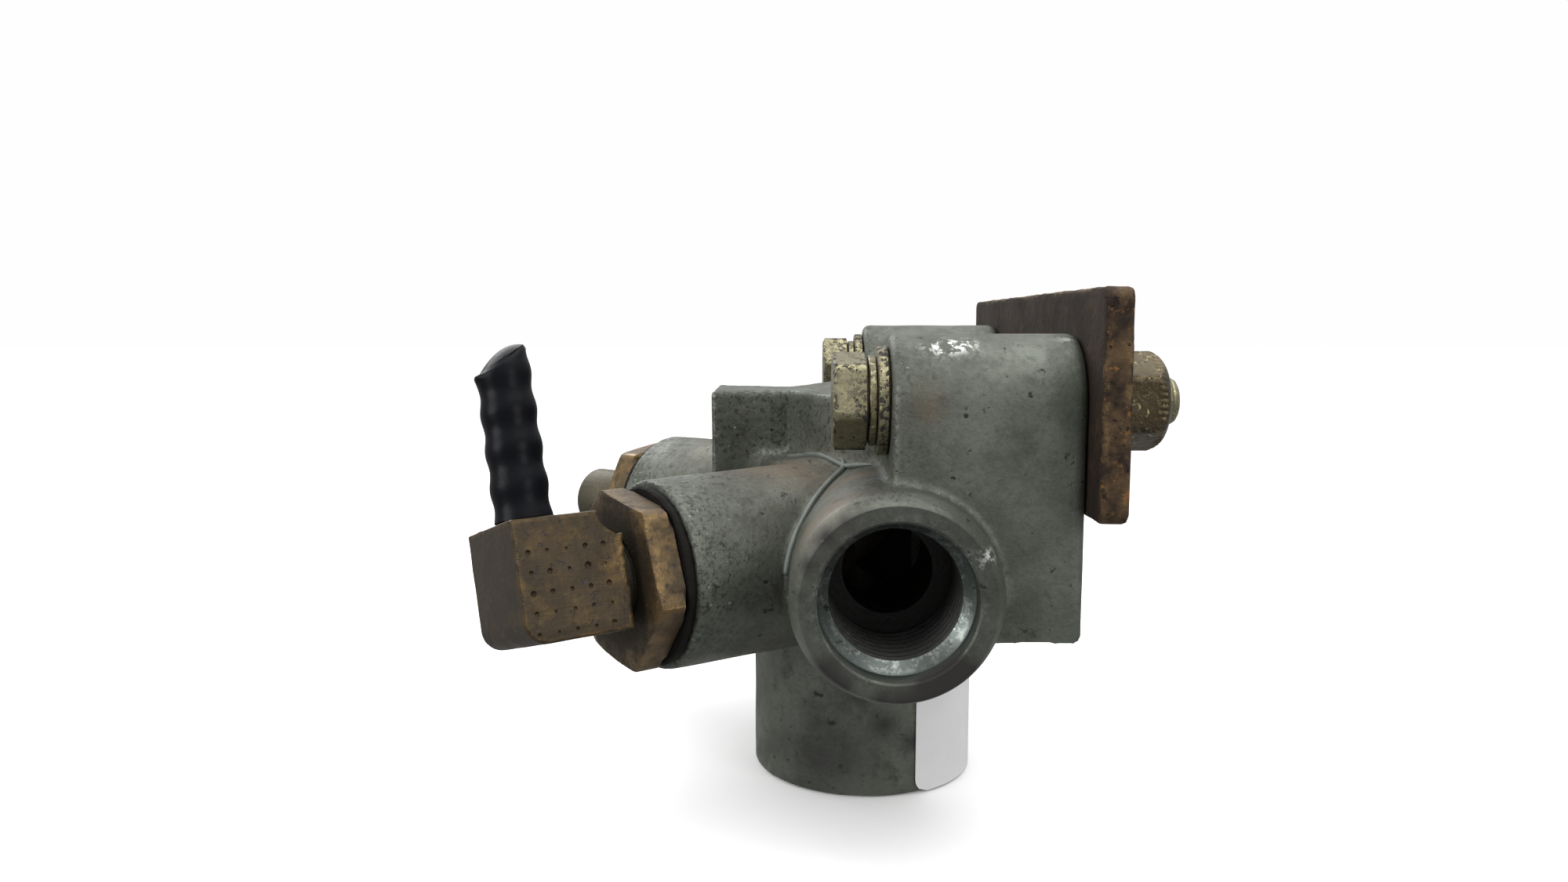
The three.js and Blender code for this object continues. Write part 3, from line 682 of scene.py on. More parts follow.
# Profiles of the cuts, as (radius, height) with height along the cut's own frame
ports = {
    "recessRadius": 11.05, "recessDepth": 4.05, "cone": 1.3, "crest": 9.4, "root": 10.25,
    "threadPitch": 1.814, "threadDepth": 19.0, "runOutRadius": 10.6, "runOut": 2.4,
    "bevel": 0.3, "recessCorner": 0.25, "rimOverlap": 0.05,
    "commonCrest": 15.15, "commonRoot": 16.4, "commonPitch": 2.309, "commonDepth": 18.0, "commonStart": 1.5,
    "mouthFlare": 1.2, "mouthHeight": 1.4, "chamberRadius": 13.5, "chamberDepth": 28.0, "chamberStep": 0.2,
    "rotorBore": 8.0, "glandBore": 10.1, "glandDepth": 12.0, "glandBevel": 0.5, "shutterHalf": 6.75,
    "dropRadius": 4.2, "dropShare": 0.75, "dropEnd": 4.0,
    "frontRadius": 6.9, "frontFrom": -33.0, "frontTo": -12.0, "rearRadius": 5.0, "rearTo": 31.6,
}
thread = {"crestEnd": 0.12, "rootStart": 0.5, "rootEnd": 0.62}  # shares of one turn
past = 1.0  # how far a cutter runs past the surface that it opens


# thread flanks as a zigzag of full turns from start to end
def threaded(start, end, crest, root, pitch):
    points = []
    turns = int(abs(end - start) / pitch)
    step = (end - start) / turns
    for i in range(turns):
        low = start + i * step
        points += [(crest, low), (crest, low + thread["crestEnd"] * step)]
        points += [(root, low + thread["rootStart"] * step), (root, low + thread["rootEnd"] * step)]
    return points + [(crest, end)]


# thread, cone and recess of one port, and the spare metal round the outside of its rim
def portCutter(side):
    p, c, reach = ports, casting, casting["portReach"]
    inner = reach - p["threadDepth"]
    floor = reach - p["recessDepth"]
    bevel = p["bevel"]
    profile = [(0, inner - p["runOut"]), (p["runOutRadius"], inner - p["runOut"]), (p["runOutRadius"], inner)]
    profile += threaded(inner, floor - p["cone"], p["crest"], p["root"], p["threadPitch"])
    profile += [(p["recessRadius"] - p["recessCorner"], floor), (p["recessRadius"], floor + bevel)]
    profile += [(p["recessRadius"], reach - bevel), (p["recessRadius"] + bevel, reach)]
    profile += [(c["rimRadius"] - bevel, reach), (c["rimRadius"], reach - bevel)]
    profile += [(c["barrelRadius"] + p["rimOverlap"], reach - c["rimTaper"])]
    profile += [(c["barrelRadius"] + past, reach - c["rimTaper"]), (c["barrelRadius"] + past, reach + past)]
    profile += [(0, reach + past)]
    points, faces = turnedShape(profile, 160)
    return meshPiece("portCutter", intoValve(points, portBase(side)), faces)


def commonCutter():
    p = ports
    profile = [(0, -past), (p["commonRoot"] + p["mouthFlare"], -past), (p["commonCrest"], p["mouthHeight"])]
    profile += threaded(
        p["commonStart"], p["commonDepth"], p["commonCrest"], p["commonRoot"], p["commonPitch"])
    profile += [(p["chamberRadius"], p["commonDepth"] + p["chamberStep"]), (p["chamberRadius"], p["chamberDepth"])]
    profile += [(0, p["chamberDepth"])]
    points, faces = turnedShape(profile, 160)
    return meshPiece("commonCutter", points + np.array([casting["bossX"], 0, 0]), faces)


def armCutter(base, length, boreStart):
    p = ports
    start = boreStart - length
    mouth = p["glandBore"] + p["glandBevel"]
    profile = [(0, start), (p["rotorBore"], start), (p["rotorBore"], -p["glandDepth"])]
    profile += [(p["glandBore"], -p["glandDepth"]), (p["glandBore"], -p["glandBevel"])]
    profile += [(mouth, 0), (mouth + past, past), (0, past)]
    points, faces = turnedShape(profile, 128)
    return meshPiece("armCutter", intoValve(points, base), faces)


def drill(radius, start, end):
    start, end = np.array(start, float), np.array(end, float)
    length = np.linalg.norm(end - start)
    z = (end - start) / length
    x = np.cross(z, (0.3, 0.2, 1.0) if abs(z[2]) < 0.9 else (1, 0, 0))
    points, faces = turnedShape([(0, 0), (radius, 0), (radius, length), (0, length)], 96)
    return meshPiece("drill", intoValve(points, frameOf(start, z, x / np.linalg.norm(x))), faces)


def alongArm(base, length, distance):
    origin, _, _, z = base
    return origin + z * (distance - length)


def boltHole(side, start, end):
    y, z = side * casting["lobeY"], casting["boltHeight"]
    return drill(casting["boltHole"], (start, y, z), (end, y, z))


# the outside as one field, then every bore and passage cut from it
def castBody():
    p, axis = ports, casting["axisHeight"]
    points, faces = surfaceOf(outsideDistance, casting["gridLow"], casting["gridHigh"], casting["step"])
    piece = meshPiece("valveCasting", points, faces)
    for side in (-1, 1):
        cutAway(piece, portCutter(side))
        cutAway(piece, boltHole(side, -1, 30))
    cutAway(piece, commonCutter())
    for base, length, bore in ((frontArm, armLengths["front"], casting["frontBore"]),
                               (rearArm, armLengths["rear"], casting["rearBore"])):
        cutAway(piece, armCutter(base, length, bore))
        middle = alongArm(base, length, bore + p["shutterHalf"])
        footX = casting["bossX"] + p["dropShare"] * (middle[0] - casting["bossX"])
        foot = (footX, p["dropShare"] * middle[1])
        cutAway(piece, drill(p["dropRadius"], (*foot, p["chamberDepth"] - past), (*foot, axis - p["dropEnd"])))
    x = casting["barrelX"]
    cutAway(piece, drill(p["frontRadius"], (x, p["frontFrom"], axis), (x, p["frontTo"], axis)))
    rearMiddle = alongArm(rearArm, armLengths["rear"], casting["rearBore"] + p["shutterHalf"])
    cutAway(piece, drill(p["rearRadius"], rearMiddle, (x, p["rearTo"], axis)))
    return piece


# Where use has marked the casting, and where it is darker low on the front of the boss: (x, y, z, spread in mm),
# and (degrees, spread) round the front rim
stains = [
    (-15, -21, 55, 8), (-8.5, -45.5, 52.5, 5.5), (-20, -27, 30, 5), (-4, -30, 56, 3.5), (14, 40, 50, 6),
    (-25, 12, 52, 6), (6, -44, 68, 2.5), (-12, 8, 64, 4),
]
rimChips = [
    (-60, 3.3), (-47, 2.6), (-73, 2.2), (-88, 1.7), (-100, 1.3), (-123, 1.5), (-136, 2.3), (157, 1.3),
    (137, 1.7), (123, 1.0), (176, 0.9),
]
# darker low on the front of the boss
lowBossDarkMarks = [
    (-7.4, -17.6, 6.0, 7.5), (2.5, -18.9, 12.5, 2.4), (-1.5, -19.0, 17.5, 2.0), (7.5, -17.5, 9.0, 2.2),
]
scuffs = [
    (8.6, -40.5, 75.6, 1.8), (11.2, -40.2, 75.9, 1.6), (13.3, -51.6, 47.9, 1.5), (-18, -19, 56, 0.9),
    (26.5, -38, 76, 1.2),
]
wear = {
    "reach": 1.1, "mouthDepth": 5.0, "footDepth": 26.0, "armDepth": 20.0, "chipRing": 13.0, "chipInset": 0.6,
    "chipStrength": 1.25, "stretch": (1.4, 1, 0.4), "insidePort": 11.3, "insideFoot": 16.6, "footTop": 25.0,
    "portStart": 20.0, "glandInner": 11.0, "glandOuter": 16.0, "glandFrom": 3.0, "glandFade": 9.0,
    "headFrom": 55.0, "headFade": 3.0,
}


# how strongly each point lies within a list of marks
def markStrength(points, marks, stretch=(1, 1, 1)):
    total = np.zeros(len(points))
    for x, y, z, spread in marks:
        total += np.exp(-((points - (x, y, z)) ** 2 / (spread * spread * np.array(stretch))).sum(1))
    return total


# the casting's field with its larger openings taken out
def openedDistance(points):
    w, c = wear, casting
    outer = outsideDistance(points)
    atRim = np.abs(points[:, 1]) > c["portReach"] - c["rimTaper"]
    outer = np.where(atRim, np.maximum(outer, barrelDistance(points)), outer)
    across = np.hypot(points[:, 0] - c["barrelX"], points[:, 2] - c["axisHeight"])
    for side in (-1, 1):
        floor = c["portReach"] - w["mouthDepth"] - side * points[:, 1]
        outer = np.maximum(outer, -np.maximum(across - ports["recessRadius"], floor))
    across = np.hypot(points[:, 0] - c["bossX"], points[:, 1])
    outer = np.maximum(outer, -np.maximum(across - ports["commonCrest"], points[:, 2] - w["footDepth"]))
    for base in (frontArm, rearArm):
        along, across = alongAndAcross(points, base)
        outer = np.maximum(outer, -np.maximum(across - ports["glandBore"], -w["armDepth"] - along))
    return outer


def markCasting(mesh):
    w, c, p = wear, casting, ports
    points, normals = vertexPlaces(mesh), vertexNormals(mesh)
    reach = w["reach"]
    edge = (openedDistance(points - normals * reach) + reach) / reach
    hollow = (reach - openedDistance(points + normals * reach)) / reach
    storeMask(mesh, "edge", (edge - 0.12) * 1.7)
    storeMask(mesh, "hollow", (hollow - 0.25) * 1.4)
    storeMask(mesh, "stain", markStrength(points, stains))
    chips = []
    for degrees, spread in rimChips:
        a = math.radians(degrees)
        x, z = c["barrelX"] + w["chipRing"] * math.cos(a), c["axisHeight"] + w["chipRing"] * math.sin(a)
        chips.append((x, w["chipInset"] - c["portReach"], z, spread))
    storeMask(mesh, "chip", w["chipStrength"] * markStrength(points, chips))
    storeMask(mesh, "scuff", markStrength(points, scuffs, w["stretch"]))
    across = np.hypot(points[:, 0] - c["barrelX"], points[:, 2] - c["axisHeight"])
    depth = c["portReach"] - np.abs(points[:, 1])
    inside = across < w["insidePort"]
    coneEnd = p["recessDepth"] + p["cone"] + 0.2
    cone = inside & (depth > p["recessDepth"] - 0.4) & (depth < coneEnd)
    bore = inside & (depth >= coneEnd)
    inBoss = np.hypot(points[:, 0] - c["bossX"], points[:, 1]) < w["insideFoot"]
    inBoss = inBoss & (points[:, 2] < w["footTop"])
    storeMask(mesh, "machined", 0.9 * cone + 0.7 * inBoss)
    # painted shade on the port bore walls past the cone; the port end faces and the marks low on the front of the
    # boss are darkened as well
    shadeAndDarkening = 0.85 * bore * (np.abs(points[:, 1]) > w["portStart"]) + 0.42 * (depth < 0.2)
    storeMask(mesh, "shadeAndDarkening", shadeAndDarkening + 0.75 * markStrength(points, lowBossDarkMarks) * ~inBoss)
    storeMask(mesh, "flash", np.zeros(len(points)))
    # rough and speckled towards the gland nuts and the bolt heads
    weathered = 0.25 * (normals[:, 2] > -0.2)
    for base in (frontArm, rearArm):
        along, across = alongAndAcross(points, base)
        nearGland = np.exp(-np.maximum(-along - w["glandFrom"], 0) / w["glandFade"])
        weathered = weathered + 0.75 * nearGland * (across < w["glandOuter"]) * (across > w["glandInner"])
    nearHead = np.exp(-np.maximum(points[:, 0] - c["lobeLeft"], 0) / w["headFade"])
    nearHead = nearHead * (points[:, 2] > w["headFrom"])
    storeMask(mesh, "weathered", weathered + 0.6 * nearHead)


# Thin ridges the die leaves along the creases of the casting, and one parting line on the front arm; their lighter
# colour is a painted highlight
flash = {
    "radius": 0.5, "lift": 0.05, "swell": 1.1, "partingRadius": 0.16, "sides": 8, "wander": 0.12, "count": 120,
    "creaseFrom": 0.6, "creaseTo": 14.4, "spineFrom": (-19.5, 6.2), "spineTo": (0.6, 24.5), "spineLift": 13,
    "spacing": 0.35, "partingSide": 14.4, "partingFrom": 9, "partingTo": 25, "partingCount": 60,
}


# where two fields are both zero, then out onto the cast surface
def creaseLine(first, second, starts):
    points = np.array(starts, float)
    for _ in range(14):
        a, b = slopeOf(first, points), slopeOf(second, points)
        da, db = first(points), second(points)
        aa, bb, ab = (a * a).sum(1), (b * b).sum(1), (a * b).sum(1)
        spread = np.maximum(aa * bb - ab * ab, 0.02)
        shareA, shareB = (da * bb - db * ab) / spread, (db * aa - da * ab) / spread
        points = points - np.clip(a * shareA[:, None] + b * shareB[:, None], -1, 1)
    return points


def ridge(line, radius, seed):
    for _ in range(6):
        line = pulledOnto(outsideDistance, line, 1.0)
    for _ in range(2):
        line[1:-1] = (line[:-2] + 2 * line[1:-1] + line[2:]) / 4
    out = slopeOf(outsideDistance, line)
    out /= np.linalg.norm(out, axis=1)[:, None]
    ahead = np.gradient(line, axis=0)
    ahead /= np.linalg.norm(ahead, axis=1)[:, None]
    aside = np.cross(ahead, out)
    count = len(line)
    share = np.arange(count) / (count - 1)
    size = radius * np.clip(np.minimum(share, 1 - share) * count / 4 + 0.1, 0, 1)
    size = size * (1 + flash["wander"] * ripple(line, 3, seed))
    angles = np.arange(flash["sides"]) * 2 * math.pi / flash["sides"]
    loops = []
    for a in angles:
        across = math.cos(a) * out * flash["swell"] + math.sin(a) * aside
        loops.append(line + size[:, None] * across + flash["lift"] * out)
    points = np.stack(loops, 1).reshape(-1, 3)
    sides, faces = flash["sides"], []
    for i in range(count - 1):
        for j in range(sides):
            k = (j + 1) % sides
            faces.append((i * sides + j, i * sides + k, (i + 1) * sides + k, (i + 1) * sides + j))
    faces += [tuple(range(sides))[::-1], tuple(range((count - 1) * sides, count * sides))]
    return points, facesOutward(points, faces)


# the upper crease between one arm and the barrel
def onCrease(side, arm, rootY):
    c = casting
    heights = np.linspace(flash["creaseFrom"], flash["creaseTo"], flash["count"])
    x = c["barrelX"] - np.sqrt(c["barrelRadius"] ** 2 - heights ** 2)
    sideways = np.sqrt(c["rootRadius"] ** 2 - heights ** 2) / math.cos(armTurn)
    y = rootY - side * math.tan(armTurn) * x + side * sideways
    return creaseLine(arm, barrelDistance, np.stack([x, y, c["axisHeight"] + heights], -1))


# the foot of the spine, where it meets the arm and the barrel
def alongSpine(side, arm):
    f = flash
    corners = [(x, side * y) for x, y in (f["spineFrom"], *spineOutline()[1:3], f["spineTo"])]
    height = casting["axisHeight"] + f["spineLift"]
    line = []
    for (ax, ay), (bx, by) in zip(corners, corners[1:]):
        steps = int(math.hypot(bx - ax, by - ay) / f["spacing"])
        for i in range(steps):
            line.append((ax + (bx - ax) * i / steps, ay + (by - ay) * i / steps, height))

    def rounds(points):
        return np.minimum(arm(points), barrelDistance(points))

    return creaseLine(rounds, spineDistance, line)


def flashLines():
    def front(points):
        return armDistance(points, frontArm, casting["frontLength"])

    def rear(points):
        return armDistance(points, rearArm, casting["rearLength"])

    f = flash
    origin, y, z = frontArm[0], frontArm[2], frontArm[3]
    places = np.linspace(f["partingFrom"], f["partingTo"], f["partingCount"])
    parting = np.array([origin - z * place + y * f["partingSide"] for place in places])
    shapes = [
        ridge(onCrease(-1, front, casting["frontRootY"]), f["radius"], 41),
        ridge(onCrease(1, rear, casting["rearRootY"]), f["radius"], 42),
        ridge(alongSpine(-1, front), f["radius"], 43), ridge(alongSpine(1, rear), f["radius"], 44),
        ridge(parting, f["partingRadius"], 45),
    ]
    points, faces = joinedShapes(*shapes)
    piece = meshPiece("flashLines", points, faces, 60)
    # painted highlight: the ridges are coloured lighter
    storeMask(piece.data, "flash", np.full(len(points), 0.8))
    return fitPiece(piece, "housing", "casting", "valve_body")


body = castBody()
markCasting(body.data)
fitPiece(body, "housing", "casting", "valve_body")
flashLines()


# Gland nuts, gaskets and spindles, in an arm's frame

gland = {
    "acrossFlats": 24.0, "face": 1.5, "outer": 6.1, "tail": -11.0, "thread": 9.7, "bore": 6.4, "chamfer": 0.6,
    "phases": {"front": 22.6, "rear": 24.0}, "gasketInner": 10.2, "gasketOuter": 13.3, "gasketTop": 1.35,
    "gasketBottom": 0.15, "collarRadius": 7.7, "collarInner": -15.25, "collarOuter": -12.65, "journal": 6.1,
    "neck": 5.75, "shoulder": 7.95, "groove": 4.4, "seals": (-4.55, -0.35), "grooveHalf": 1.0,
    "endReach": 15.8, "endRadius": 6.1, "dome": 1.9, "tangLength": 4.0, "tangHalf": (2.0, 5.5),
    "drive": 3.5, "driveLength": 8.5,
}


def glandNut(end, base):
    g = gland
    top, corner = g["outer"], g["acrossFlats"] / math.sqrt(3) + 0.4
    crown = g["acrossFlats"] / 2 + 0.2
    profile = [(g["bore"], g["tail"]), (g["thread"] - 0.8, g["tail"]), (g["thread"], g["tail"] + 0.8)]
    profile += [(g["thread"], g["face"]), (crown - 0.6, g["face"], "hex"), (crown + 0.5, g["face"] + 0.12, "hex")]
    profile += [(corner, g["face"] + 0.6, "hex"), (corner, top - g["chamfer"], "hex")]
    steps = 8
    for i in range(1, steps + 1):
        share = i / steps
        profile.append((corner + (crown - corner) * share, top - g["chamfer"] * (1 - share), "hex"))
    profile += [(crown - 0.35, top, "hex"), (crown - 3, top), (g["bore"] + 0.5, top), (g["bore"], top - 0.5)]
    points, faces = turnedShape(profile, 240, g["acrossFlats"], g["phases"][end])
    piece = meshPiece(end + "GlandNut", intoValve(points, base), faces, 24)
    local = localOf(piece.data, base)
    across = np.hypot(local[:, 0], local[:, 1])
    angle = (np.arctan2(local[:, 1], local[:, 0]) - math.radians(g["phases"][end])) % (math.pi / 3)
    fromCorner = np.minimum(angle, math.pi / 3 - angle) * across
    onSide = across > crown - 1.1
    edges = np.exp(-(fromCorner / 0.9) ** 2) + np.exp(-((local[:, 2] - top + 0.5) / 0.6) ** 2)
    storeMask(piece.data, "edge", onSide * edges)
    # painted shade: the nut's outer face is darkened
    face = np.clip((local[:, 2] - top + 0.25) / 0.2, 0, 1) * (across < crown + 0.8)
    storeMask(piece.data, "grimeAndShade", 0.85 * face)
    return fitPiece(piece, "housing", "gland_brass", end + "_gland_nut")


def gasket(end, base, seed):
    g = gland
    rng = np.random.default_rng(seed)
    waves = rng.uniform(0, 6.28, 5)

    def frayed(reach, angles, height):
        wave = sum(np.sin((3 + 4 * i) * angles + w) / (2 + i) for i, w in enumerate(waves))
        return np.where(reach > g["gasketInner"] + 1, reach + 0.16 * wave, reach)

    low, high = g["gasketBottom"], g["gasketTop"]
    profile = [(g["gasketInner"], low), (g["gasketOuter"] - 0.3, low), (g["gasketOuter"], low + 0.25)]
    profile += [(g["gasketOuter"] + 0.08, (low + high) / 2), (g["gasketOuter"], high - 0.25)]
    profile += [(g["gasketOuter"] - 0.3, high), (g["gasketInner"], high)]
    points, faces = turnedShape(profile, 180, shaping=frayed)
    piece = meshPiece(end + "GlandGasket", intoValve(points, base), faces)
    return fitPiece(piece, "housing", "gasket_fibre", end + "_gland_gasket")


def spindleProfile():
    g = gland
    profile = [(0, g["collarInner"]), (g["collarRadius"] - 0.3, g["collarInner"])]
    profile += [(g["collarRadius"], g["collarInner"] + 0.3), (g["collarRadius"], g["collarOuter"])]
    profile += [(g["journal"], g["collarOuter"])]
    for place in g["seals"]:
        profile += [(g["journal"], place - g["grooveHalf"]), (g["groove"], place - g["grooveHalf"])]
        profile += [(g["groove"], place + g["grooveHalf"]), (g["journal"], place + g["grooveHalf"])]
    return profile


# box about z, for flats and squares on a spindle
def blockShape(half, low, high, turn=0.0):
    x, y = half
    c, s = math.cos(turn), math.sin(turn)
    corners = [(c * a - s * b, s * a + c * b) for a, b in ((-x, -y), (x, -y), (x, y), (-x, y))]
    points = [(a, b, low) for a, b in corners] + [(a, b, high) for a, b in corners]
    faces = [(3, 2, 1, 0), (4, 5, 6, 7)] + [(i, (i + 1) % 4, (i + 1) % 4 + 4, i + 4) for i in range(4)]
    return np.array(points, float), faces


def spindle(end, base, body, node):
    g = gland
    profile = spindleProfile()
    tangEnds = g["collarInner"] - g["tangLength"], g["collarInner"] + 1
    tang = blockShape((g["tangHalf"][1], g["tangHalf"][0]), *tangEnds)
    extra = [tang]
    if end == "front":
        profile += [(g["journal"], g["outer"]), (g["neck"], g["outer"]), (g["neck"], g["shoulder"])]
        profile += [(0, g["shoulder"])]
        extra.append(blockShape((g["drive"], g["drive"]), g["shoulder"] - 1, g["shoulder"] + g["driveLength"],
                                math.radians(lever["tilt"])))
    else:
        top = g["outer"] + g["endReach"]
        profile += [(g["journal"], g["outer"] + 0.4), (g["endRadius"] - 0.12, g["outer"] + 0.7)]
        profile += [(g["endRadius"] - 0.12, g["outer"] + 1.5), (g["endRadius"], g["outer"] + 1.8)]
        steps = 14
        for i in range(steps + 1):
            a = math.pi / 2 * i / steps
            radius = g["endRadius"] * math.cos(a) ** 0.8 if i < steps else 0
            profile.append((radius, top - g["dome"] * (1 - math.sin(a))))
    points, faces = joinedShapes(turnedShape(profile, 120), *extra)
    piece = meshPiece(end + "Spindle", intoValve(points, base), faces)
    storeMask(piece.data, "edge", np.zeros(len(points)))
    storeMask(piece.data, "grimeAndShade", np.full(len(points), 0.35 if end == "rear" else 0.6))
    return fitPiece(piece, body, "spindle_brass", node)


# Lever: dimpled hub and ripple grip, in the front arm's frame turned by the lever's tilt

lever = {
    "tilt": 17.0, "inner": 8.1, "depth": 16.0, "half": 8.5, "top": 9.7, "bottom": 7.3, "corner": 3.2,
    "hubEdge": 0.35, "notchRadius": 3.3, "hubStep": 0.3,
    "dimplePitch": 2.75, "dimpleRows": 5, "dimpleColumns": 5, "dimpleSize": 0.8, "dimpleDepth": 0.7,
    "socket": 3.8, "rodHole": 2.8, "rodOffset": 2.6, "rodInsert": 4.9,
    "gripRadius": 4.2, "gripTop": 3.95, "gripLength": 25.9, "gripCut": 4.3, "gripDome": 1.6,
    "ripplePitch": 5.4, "rippleDepth": 0.34, "rodExposed": 20.8, "lip": 0.45,
}
leverBase = turnedFrame(frontArm, lever["tilt"])


# p is in the lever's frame: x towards the grip, y away from the dimpled side, z out of the arm
def hubDistance(p):
    v = lever
    outer = v["inner"] + v["depth"]
    x, y, z = p[:, 0], p[:, 1], p[:, 2]
    section = np.maximum(np.maximum(x - v["top"], -v["bottom"] - x), np.maximum(z - outer, v["inner"] - z))
    cx, cz = -v["bottom"] + v["corner"], outer - v["corner"]
    rounded = np.hypot(np.minimum(x - cx, 0), np.maximum(z - cz, 0)) - v["corner"]
    section = np.where((x < cx) & (z > cz), np.maximum(section, rounded), section)
    bite = np.hypot(x - v["top"] + 0.2, (z - v["inner"] + 0.4) * 0.9) - v["notchRadius"]
    section = np.maximum(section, -bite)
    ragged = 0.16 * ripple(p, 1.6, 8) + 0.22 * ripple(p, 3.4, 9)
    nearNut = np.exp(-np.maximum(z - v["inner"], 0) / 1.4)
    section = section + nearNut * (ragged + 0.12)
    return roundedBlock(section, np.abs(y) - v["half"], v["hubEdge"]) + 0.02 * ripple(p, 5, 10)


# the punch marks' points as instances on a grid, made solid for one cut
def dimplePunches():
    tree = bpy.data.node_groups.new("dimpleGrid", "GeometryNodeTree")
    sockets = {}
    for name, kind in (("Pitch", "NodeSocketFloat"), ("Rows", "NodeSocketInt"), ("Columns", "NodeSocketInt"),
                       ("Size", "NodeSocketFloat"), ("Depth", "NodeSocketFloat"), ("Seed", "NodeSocketInt"),
                       ("Finish", "NodeSocketMaterial")):
        sockets[name] = tree.interface.new_socket(name, in_out="INPUT", socket_type=kind).identifier
    tree.interface.new_socket("Geometry", in_out="OUTPUT", socket_type="NodeSocketGeometry")
    given = tree.nodes.new("NodeGroupInput").outputs
    width = addNode(tree, "ShaderNodeMath", {0: given["Columns"], 1: 1.0}, operation="SUBTRACT").outputs[0]
    height = addNode(tree, "ShaderNodeMath", {0: given["Rows"], 1: 1.0}, operation="SUBTRACT").outputs[0]
    width = addNode(tree, "ShaderNodeMath", {0: width, 1: given["Pitch"]}, operation="MULTIPLY").outputs[0]
    height = addNode(tree, "ShaderNodeMath", {0: height, 1: given["Pitch"]}, operation="MULTIPLY").outputs[0]
    grid = addNode(tree, "GeometryNodeMeshGrid", {
        "Size X": width, "Size Y": height, "Vertices X": given["Columns"], "Vertices Y": given["Rows"]})
    punch = addNode(tree, "GeometryNodeMeshCone", {
        "Vertices": 10, "Side Segments": 1, "Radius Top": 0.0, "Radius Bottom": given["Size"],
        "Depth": given["Depth"]})
    spin = addNode(tree, "FunctionNodeRandomValue", {
        "Min": (-0.12, -0.12, 0.0), "Max": (0.12, 0.12, 6.28), "Seed": given["Seed"]},
        data_type="FLOAT_VECTOR")
    size = addNode(tree, "FunctionNodeRandomValue", {2: 0.8, 3: 1.15, "Seed": given["Seed"]},
        data_type="FLOAT")
    placed = addNode(tree, "GeometryNodeInstanceOnPoints", {
        "Points": grid.outputs["Mesh"], "Instance": punch.outputs["Mesh"], "Rotation": spin.outputs["Value"],
        "Scale": size.outputs[1]})
    solid = addNode(tree, "GeometryNodeRealizeInstances", {"Geometry": placed.outputs["Instances"]})
    painted = addNode(tree, "GeometryNodeSetMaterial", {
        "Geometry": solid.outputs["Geometry"], "Material": given["Finish"]})
    addNode(tree, "NodeGroupOutput", {"Geometry": painted.outputs["Geometry"]})
    carrier = bpy.data.objects.new("dimples", bpy.data.meshes.new("dimples"))
    bpy.context.scene.collection.objects.link(carrier)
    modifier = carrier.modifiers.new("dimples", "NODES")
    modifier.node_group = tree
    v = lever
    values = {"Pitch": v["dimplePitch"], "Rows": v["dimpleRows"], "Columns": v["dimpleColumns"],
              "Size": v["dimpleSize"], "Depth": 2 * v["dimpleDepth"], "Seed": 4,
              "Finish": finishes["lever_brass"]}
    for name, value in values.items():
        modifier[sockets[name]] = value
    made = bpy.data.meshes.new_from_object(carrier.evaluated_get(bpy.context.evaluated_depsgraph_get()))
    carrier.modifiers.remove(modifier)
    bpy.data.objects.remove(carrier)
    # the grid's x runs along the arm and its y along the lever, and its cones point into the side
    flat = np.array([vertex.co for vertex in made.vertices])
    middleX = v["top"] - 4.7 - 2 * v["dimplePitch"]
    middleZ = v["inner"] + v["depth"] - 1.9 - 2 * v["dimplePitch"]
    faces = [tuple(polygon.vertices) for polygon in made.polygons]
    outside = -v["half"] - v["dimpleDepth"]
    points = np.stack([middleX + flat[:, 1], outside + flat[:, 2], middleZ + flat[:, 0]], -1)
    return meshPiece("dimplePunches", intoValve(points, leverBase), faces)


def leverHub():
    v = lever
    low = [-v["bottom"] - 0.7, -v["half"] - 0.7, v["inner"] - 1.2]
    high = [v["top"] + 0.7, v["half"] + 0.7, v["inner"] + v["depth"] + 0.7]
    points, faces = surfaceOf(hubDistance, low, high, v["hubStep"])
    piece = meshPiece("leverHub", intoValve(points, leverBase), faces)
    cutAway(piece, dimplePunches())
    socketEnd = gland["shoulder"] + gland["driveLength"] + 0.3
    socket = blockShape((v["socket"], v["socket"]), v["inner"] - 2, socketEnd)
    cutAway(piece, meshPiece("socket", intoValve(socket[0], leverBase), socket[1]))
    hole, faces = turnedShape([(0, 0), (v["rodHole"], 0), (v["rodHole"], 8), (0, 8)], 64)
    cutAway(piece, meshPiece("rodHole", intoValve(hole, gripBase(v["top"] - v["rodInsert"])), faces))
    local = localOf(piece.data, leverBase)
    normals = vertexNormals(piece.data)
    base = leverBase
    turned = np.stack([normals @ base[1], normals @ base[2], normals @ base[3]], -1)
    reach = 0.7
    edge = (hubDistance(local - turned * reach) + reach) / reach
    worn = np.exp(-((local[:, 2] - v["inner"]) / 3.2) ** 2) * np.exp(-((local[:, 0] - 3.0) / 4.5) ** 2)
    storeMask(piece.data, "edge", 1.5 * (edge - 0.1) + 0.8 * worn)
    # darker at the hub's lower end
    outer = v["inner"] + v["depth"]
    storeMask(piece.data, "grimeAndShade", 0.3 * (local[:, 0] < -5.5) * (local[:, 2] < outer - 0.2))
    return fitPiece(piece, "lever", "lever_brass", "lever_hub")


# frame of the lever's line: z towards the grip, y out of the arm
def gripBase(height):
    origin, x, y, z = leverBase
    middle = origin + z * (lever["inner"] + lever["depth"] / 2 + lever["rodOffset"])
    return middle + x * height, y, z, x


